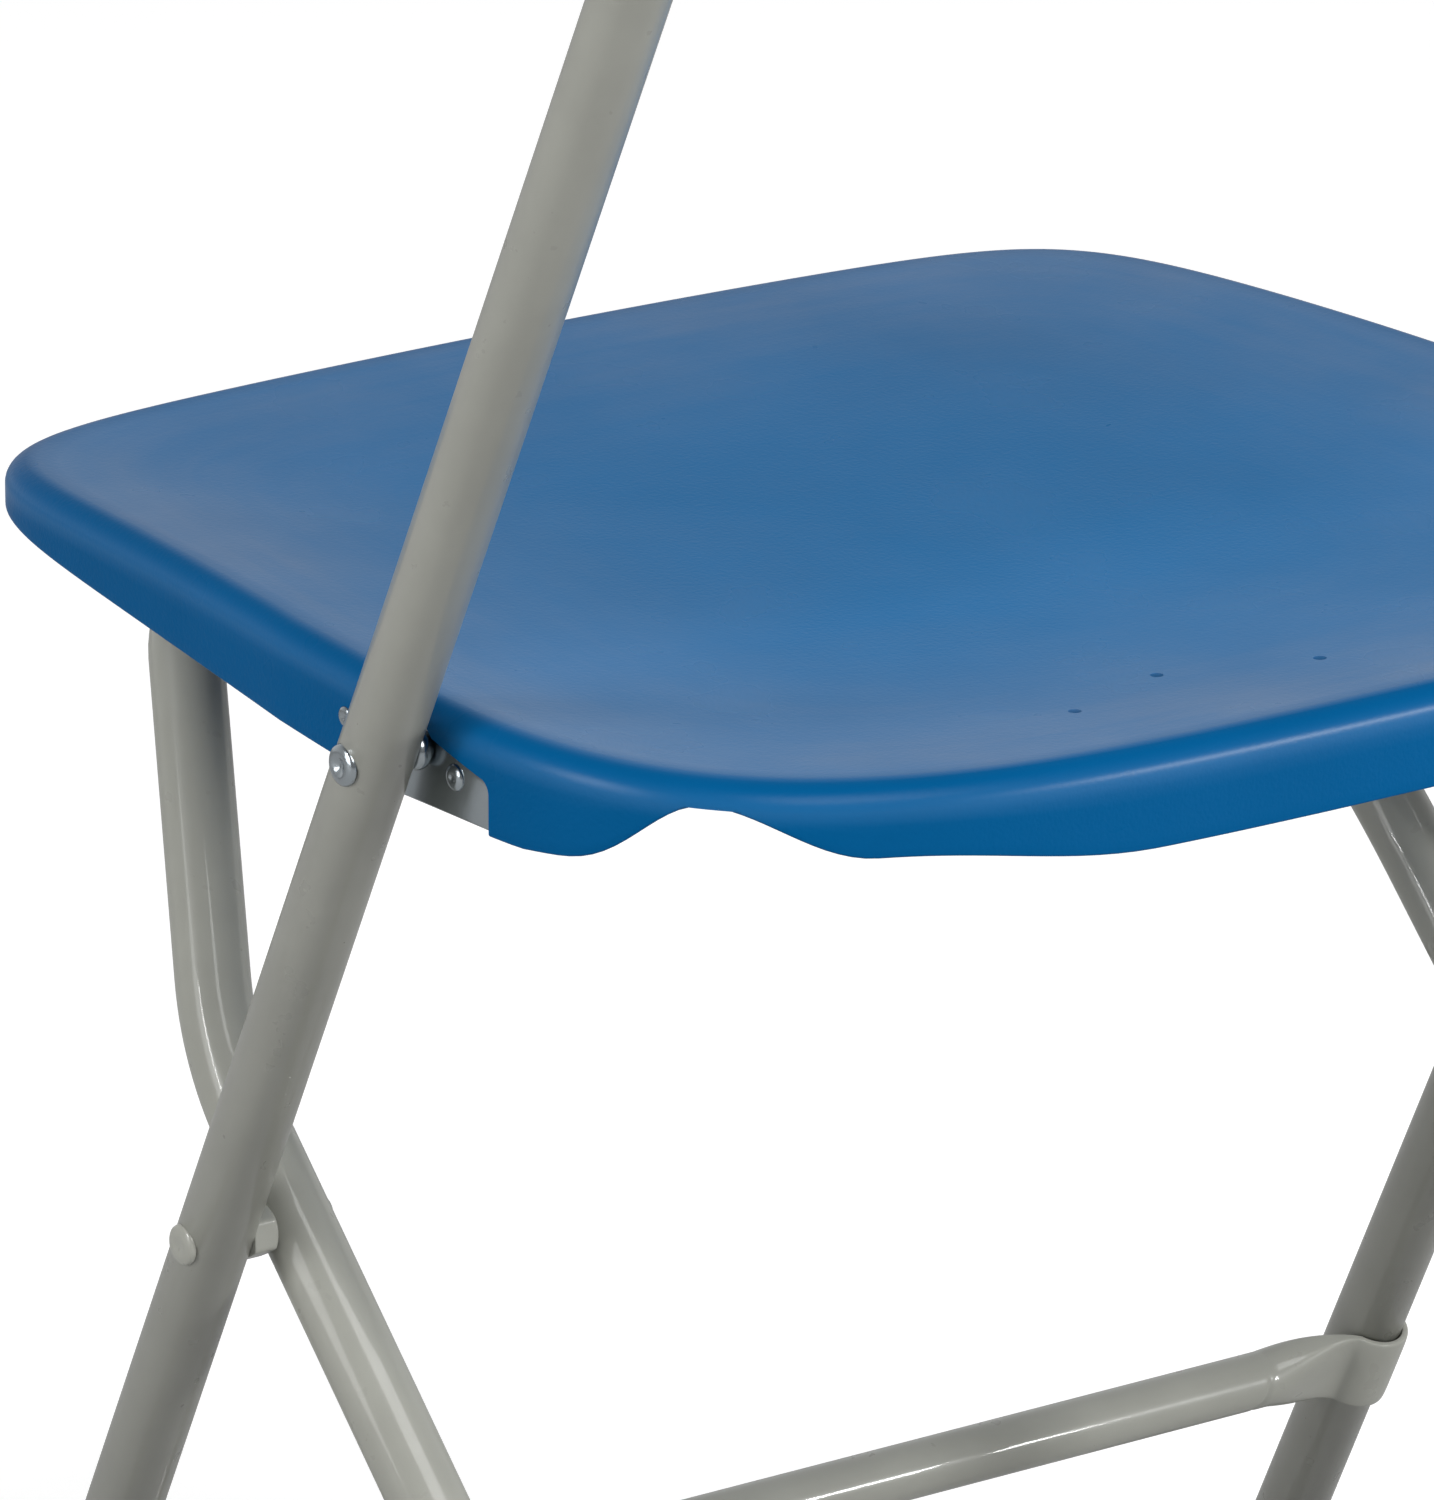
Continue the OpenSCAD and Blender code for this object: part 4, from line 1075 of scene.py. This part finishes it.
class CHAIR_OT_rivets(bpy.types.Operator):
    """Rivets, collars and washers"""

    bl_idname = "chair.rivets"
    bl_label = "Rivets and screws"

    def execute(self, context):
        chair = Chair(context.scene)
        s = chair.s
        r, up_x = s.tube_radius, chair.up_x
        y2, z2, y1, z1 = chair.pivot_y, s.leg_pivot, chair.seat_pivot_y, s.seat_pivot
        paint, zinc = finish("paint"), finish("zinc")
        clearance = 0.0004

        out = up_x + r
        depth = out - (s.leg_x - r - clearance)
        pattern = rivet(paint, head_profile(0.0055, 0.0015, 0.60, 0.0005), sunk=0.0003, shank=0.004,
                        end=0.0008 - depth, tail=dome(0.0032, 0.0009), tail_at=0.0010 - depth)
        rivets = scatter("leg_rivets", pattern, on_sides(out, y2, z2))
        put(rivets, "frame", paint, "leg_pivot_rivet_left", "leg_pivot_rivet_right", slot="paint")

        start, past_edge, flat, turn = s.leg_x + r + clearance, 0.0026, 0.0081, math.radians(33)
        nuts = both(nut((start, y2, z2), up_x - r + past_edge - start, flat, turn))
        collars = bevelled(piece("leg_collars", *nuts), 0.0003, 2, 25)
        put(smooth(collars, 60), "frame", paint, "leg_pivot_spacer_left", "leg_pivot_spacer_right", slot="paint")

        length = out - chair.plate_in + clearance
        pattern = rivet(zinc, head_profile(0.0055, 0.0018, 0.70, 0.0014), sunk=0.0005, shank=0.003,
                        end=-length - 0.001, tail=dome(0.005, 0.002), tail_at=-length)
        rivets = scatter("seat_rivets", pattern, on_sides(out, y1, z1))
        put(rivets, "frame", zinc, "seat_pivot_rivet_left", "seat_pivot_rivet_right", slot="zinc")

        wide = up_x - r - chair.plate_out - clearance
        radius, bore, collar, bulge, top, steps = 0.0052, 0.5, 0.7, wide * 0.42, wide + 0.0016, 12
        washer = [(radius * bore, 0)]
        for k in range(steps + 1):
            a = math.pi * k / steps
            washer.append((radius - bulge + bulge * math.sin(a), wide * 0.5 - wide * 0.5 * math.cos(a)))
        washer += [(radius * collar, top), (radius * bore, top)]
        washers = scatter("seat_washers", proto(zinc, washer), on_sides(chair.plate_out + clearance, y1, z1))
        put(washers, "frame", zinc, "seat_pivot_washer_left", "seat_pivot_washer_right", slot="zinc")

        # ways of the backrest's rivets from its lower and upper edges
        half, from_low, from_high = s.back_height / 2, 0.022, 0.048
        heights = (chair.back_s - half + from_low, chair.back_s + half - from_high)
        front = r + 0.0054
        pattern = rivet(zinc, dome(0.005, 0.002), sunk=0, shank=0.0025, end=-0.026,
                        tail=dome(0.0045, 0.0018), tail_at=-0.0256)
        axis = chair.main(0, 0, 1) - chair.main(0, 0, 0)
        places = [(chair.main(side * up_x, up, front), axis) for side in (1, -1) for up in heights]
        put(scatter("back_rivet_heads", pattern, places), "frame", zinc, "back_rivets", slot="zinc")

        skirt_out = 0.20665
        pair = []
        for name, places, wide, high in (
                ("front_heads", on_sides(skirt_out, y1 - 0.032, z1 + 0.0005), 0.0027, 0.0008),
                ("rear_heads", on_sides(chair.plate_out, y1 + 0.013, z1 - 0.0045), 0.0036, 0.0014)):
            pattern = rivet(zinc, head_profile(wide, high, 0.55, high * 0.4), sunk=0, shank=0.002, end=-0.0068,
                            tail=dome(0.0033, 0.0012), tail_at=-0.0064)
            pair.append(scatter(name, pattern, places))
        rivets = merged("bracket_rivet_heads", pair)
        put(rivets, "seat", zinc, "bracket_rivets", slot="zinc")
        return {"FINISHED"}


# ---------------------------------------------------------------- brackets, hooks and feet

class CHAIR_OT_brackets(bpy.types.Operator):
    """Pivot brackets with rounded edges"""

    bl_idname = "chair.brackets"
    bl_label = "Brackets"

    def execute(self, context):
        chair = Chair(context.scene)
        left = plate_skin(chair, 0, chair.plate_in, chair.plate_out)
        for name, part, old in (("pivot_bracket_left", left, "seat_bracket_left"),
                                ("pivot_bracket_right", mirrored(left), "seat_bracket_right")):
            plate = piece(name, *part, shaded=False)
            bevelled(plate, 0.0006, 3, 30)
            smooth(plate, 50)
            put(plate, "seat", finish("zinc"), old, slot="zinc")
        return {"FINISHED"}


class CHAIR_OT_small_parts(bpy.types.Operator):
    """Hooks, screws and foot caps, which keep their solids and get a finish"""

    bl_idname = "chair.small_parts"
    bl_label = "Hooks and feet"

    def execute(self, context):
        for name, look in (("seat_hook_left", "zinc"), ("seat_hook_right", "zinc"), ("hook_screws", "zinc"),
                           ("front_foot_left", "foot"), ("front_foot_right", "foot"),
                           ("rear_foot_left", "foot"), ("rear_foot_right", "foot")):
            mesh = frame["nodes"][name].data
            mesh.materials.clear()
            mesh.materials.append(finish(look))
        return {"FINISHED"}


# ---------------------------------------------------------------- stage

def ray_kinds(tree):
    """Whether a ray comes from the camera or through glass, and whether it comes from a gloss."""
    path = tree.nodes.new("ShaderNodeLightPath")
    seen = sums(tree, "MAXIMUM", path.outputs["Is Camera Ray"], path.outputs["Is Transmission Ray"])
    return seen, path.outputs["Is Glossy Ray"]


def white_floor(colour):
    """A pale floor that shows white but keeps the object's soft shadow."""
    seen_level, gloss_level = 0.78, 0.12
    material, tree, surface = blank_material("white_floor")
    seen, glossy = ray_kinds(tree)
    glow = tree.nodes.new("ShaderNodeEmission")
    in_gloss = sums(tree, "MULTIPLY", glossy, gloss_level)
    in_view = sums(tree, "MULTIPLY", seen, seen_level)
    tree.links.new(sums(tree, "MAXIMUM", in_view, in_gloss), glow.inputs["Strength"])
    real = tree.nodes.new("ShaderNodeBsdfDiffuse")
    real.inputs["Color"].default_value = (*colour, 1)
    added = tree.nodes.new("ShaderNodeAddShader")
    tree.links.new(real.outputs["BSDF"], added.inputs[0])
    tree.links.new(glow.outputs["Emission"], added.inputs[1])
    tree.links.new(added.outputs["Shader"], surface)
    return material


def lamp(name, place, target, size, size_y, power):
    """A rectangular studio light that faces a point."""
    light = bpy.data.lights.new(name, "AREA")
    light.shape = "RECTANGLE"
    light.size = size
    light.size_y = size_y
    light.energy = power
    obj = bpy.data.objects.new(name, light)
    way = Vector(place) - Vector(target)
    obj.matrix_world = Matrix.Translation(place) @ way.to_track_quat("Z", "Y").to_matrix().to_4x4()
    bpy.context.scene.collection.objects.link(obj)


class CHAIR_OT_stage(bpy.types.Operator):
    """Floor, lights, world and camera"""

    bl_idname = "chair.stage"
    bl_label = "Studio"

    def execute(self, context):
        scene = context.scene
        view = scene.chair_view
        far, floor_grey = 6, (0.44, 0.44, 0.44)
        corners = [(-far, -far, 0), (far, -far, 0), (far, far, 0), (-far, far, 0)]
        floor = piece("floor", corners, [(0, 1, 2, 3)], shaded=False)
        floor.data.materials.append(white_floor(floor_grey))

        world = bpy.data.worlds.new("studio")
        scene.world = world
        world.use_nodes = True
        tree = world.node_tree
        tree.nodes.clear()
        out = tree.nodes.new("ShaderNodeOutputWorld")
        back = tree.nodes.new("ShaderNodeBackground")
        height = tree.nodes.new("ShaderNodeSeparateXYZ")
        way = tree.nodes.new("ShaderNodeTexCoord").outputs["Generated"]
        tree.links.new(way, height.inputs["Vector"])
        bright_side = (-0.60, -0.80, 0.0)
        along = tree.nodes.new("ShaderNodeVectorMath")
        along.operation = "DOT_PRODUCT"
        along.inputs[1].default_value = bright_side
        tree.links.new(way, along.inputs[0])
        backdrop = ranged(tree, along.outputs["Value"], -0.2, 0.6, 0.35, 1.0)
        mirrored_white = sums(tree, "MULTIPLY", ranged(tree, height.outputs["Z"], 0.35, 0.80, 1.0, 0.6), backdrop)
        seen, glossy = ray_kinds(tree)
        level = tree.nodes.new("ShaderNodeMix")
        tree.links.new(ranged(tree, height.outputs["Z"], 0.0, 1.0, 0.22, 0.44), level.inputs[2])
        tree.links.new(glossy, level.inputs["Factor"])
        tree.links.new(mirrored_white, level.inputs[3])
        tree.links.new(sums(tree, "MAXIMUM", level.outputs[0], seen), back.inputs["Strength"])
        tree.links.new(back.outputs["Background"], out.inputs["Surface"])

        target = Vector((0, 0, 0.35))
        for name, way, reach, wide, high, power in (
                ("key_box", (0.02, 0.70, 0.70), 3.8, 2.4, 2.0, 90),
                ("left_box", (0.95, -0.05, 0.27), 3.0, 1.6, 1.6, 34),
                ("left_strip", (0.931, -0.10, 0.36), 2.6, 0.08, 1.0, 9),
                ("low_strip", (-0.57, 0.82, 0.09), 2.4, 0.40, 0.28, 25)):
            lamp(name, target + Vector(way).normalized() * reach, target, wide, high, power)

        a, e = view.azimuth, view.elevation
        back_way = Vector((math.sin(a) * math.cos(e), -math.cos(a) * math.cos(e), math.sin(e)))
        right = Vector((math.cos(a), math.sin(a), 0))
        up = back_way.cross(right)
        camera = bpy.data.cameras.new("camera")
        camera.sensor_fit = "HORIZONTAL"
        camera.sensor_width = 36
        camera.lens = view.lens
        camera.clip_end = 50
        obj = bpy.data.objects.new("camera", camera)
        turn = Matrix((right, up, back_way)).transposed().to_4x4()
        obj.matrix_world = Matrix.Translation(Vector(view.camera_at)) @ turn
        scene.collection.objects.link(obj)
        scene.camera = obj
        scene.view_settings.view_transform = "Standard"
        return {"FINISHED"}


# ---------------------------------------------------------------- panel and start

class CHAIR_PT_panel(bpy.types.Panel):
    """Lists the steps that make the chair"""

    bl_label = "Folding chair"
    bl_idname = "CHAIR_PT_panel"
    bl_space_type = "VIEW_3D"
    bl_region_type = "UI"
    bl_category = "Chair"

    def draw(self, context):
        for step in OPERATORS:
            self.layout.operator(step.bl_idname)
        for group in ("chair_sizes", "chair_seat", "chair_colours", "chair_view"):
            box = self.layout.box()
            data = getattr(context.scene, group)
            for name in data.bl_rna.properties.keys():
                if name not in ("rna_type", "name"):
                    box.prop(data, name)


GROUPS = {"chair_sizes": ChairSizes, "chair_seat": ChairSeat, "chair_colours": ChairColours, "chair_view": ChairView}
OPERATORS = (CHAIR_OT_stage, CHAIR_OT_seat, CHAIR_OT_back, CHAIR_OT_tubes, CHAIR_OT_crossbars, CHAIR_OT_rivets,
             CHAIR_OT_brackets, CHAIR_OT_small_parts)


def register():
    """Adds the classes and the groups of settings."""
    for kind in (*GROUPS.values(), *OPERATORS, CHAIR_PT_panel):
        bpy.utils.register_class(kind)
    for name, kind in GROUPS.items():
        setattr(bpy.types.Scene, name, bpy.props.PointerProperty(type=kind))


def unregister():
    """Takes the groups of settings and the classes away."""
    for name in GROUPS:
        delattr(bpy.types.Scene, name)
    for kind in reversed((*GROUPS.values(), *OPERATORS, CHAIR_PT_panel)):
        bpy.utils.unregister_class(kind)


def main():
    """Makes the chair and its studio."""
    register()
    bpy.ops.chair.stage()
    bpy.ops.chair.seat()
    bpy.ops.chair.back()
    bpy.ops.chair.tubes()
    bpy.ops.chair.crossbars()
    bpy.ops.chair.rivets()
    bpy.ops.chair.brackets()
    bpy.ops.chair.small_parts()


if __name__ == "__main__":
    main()
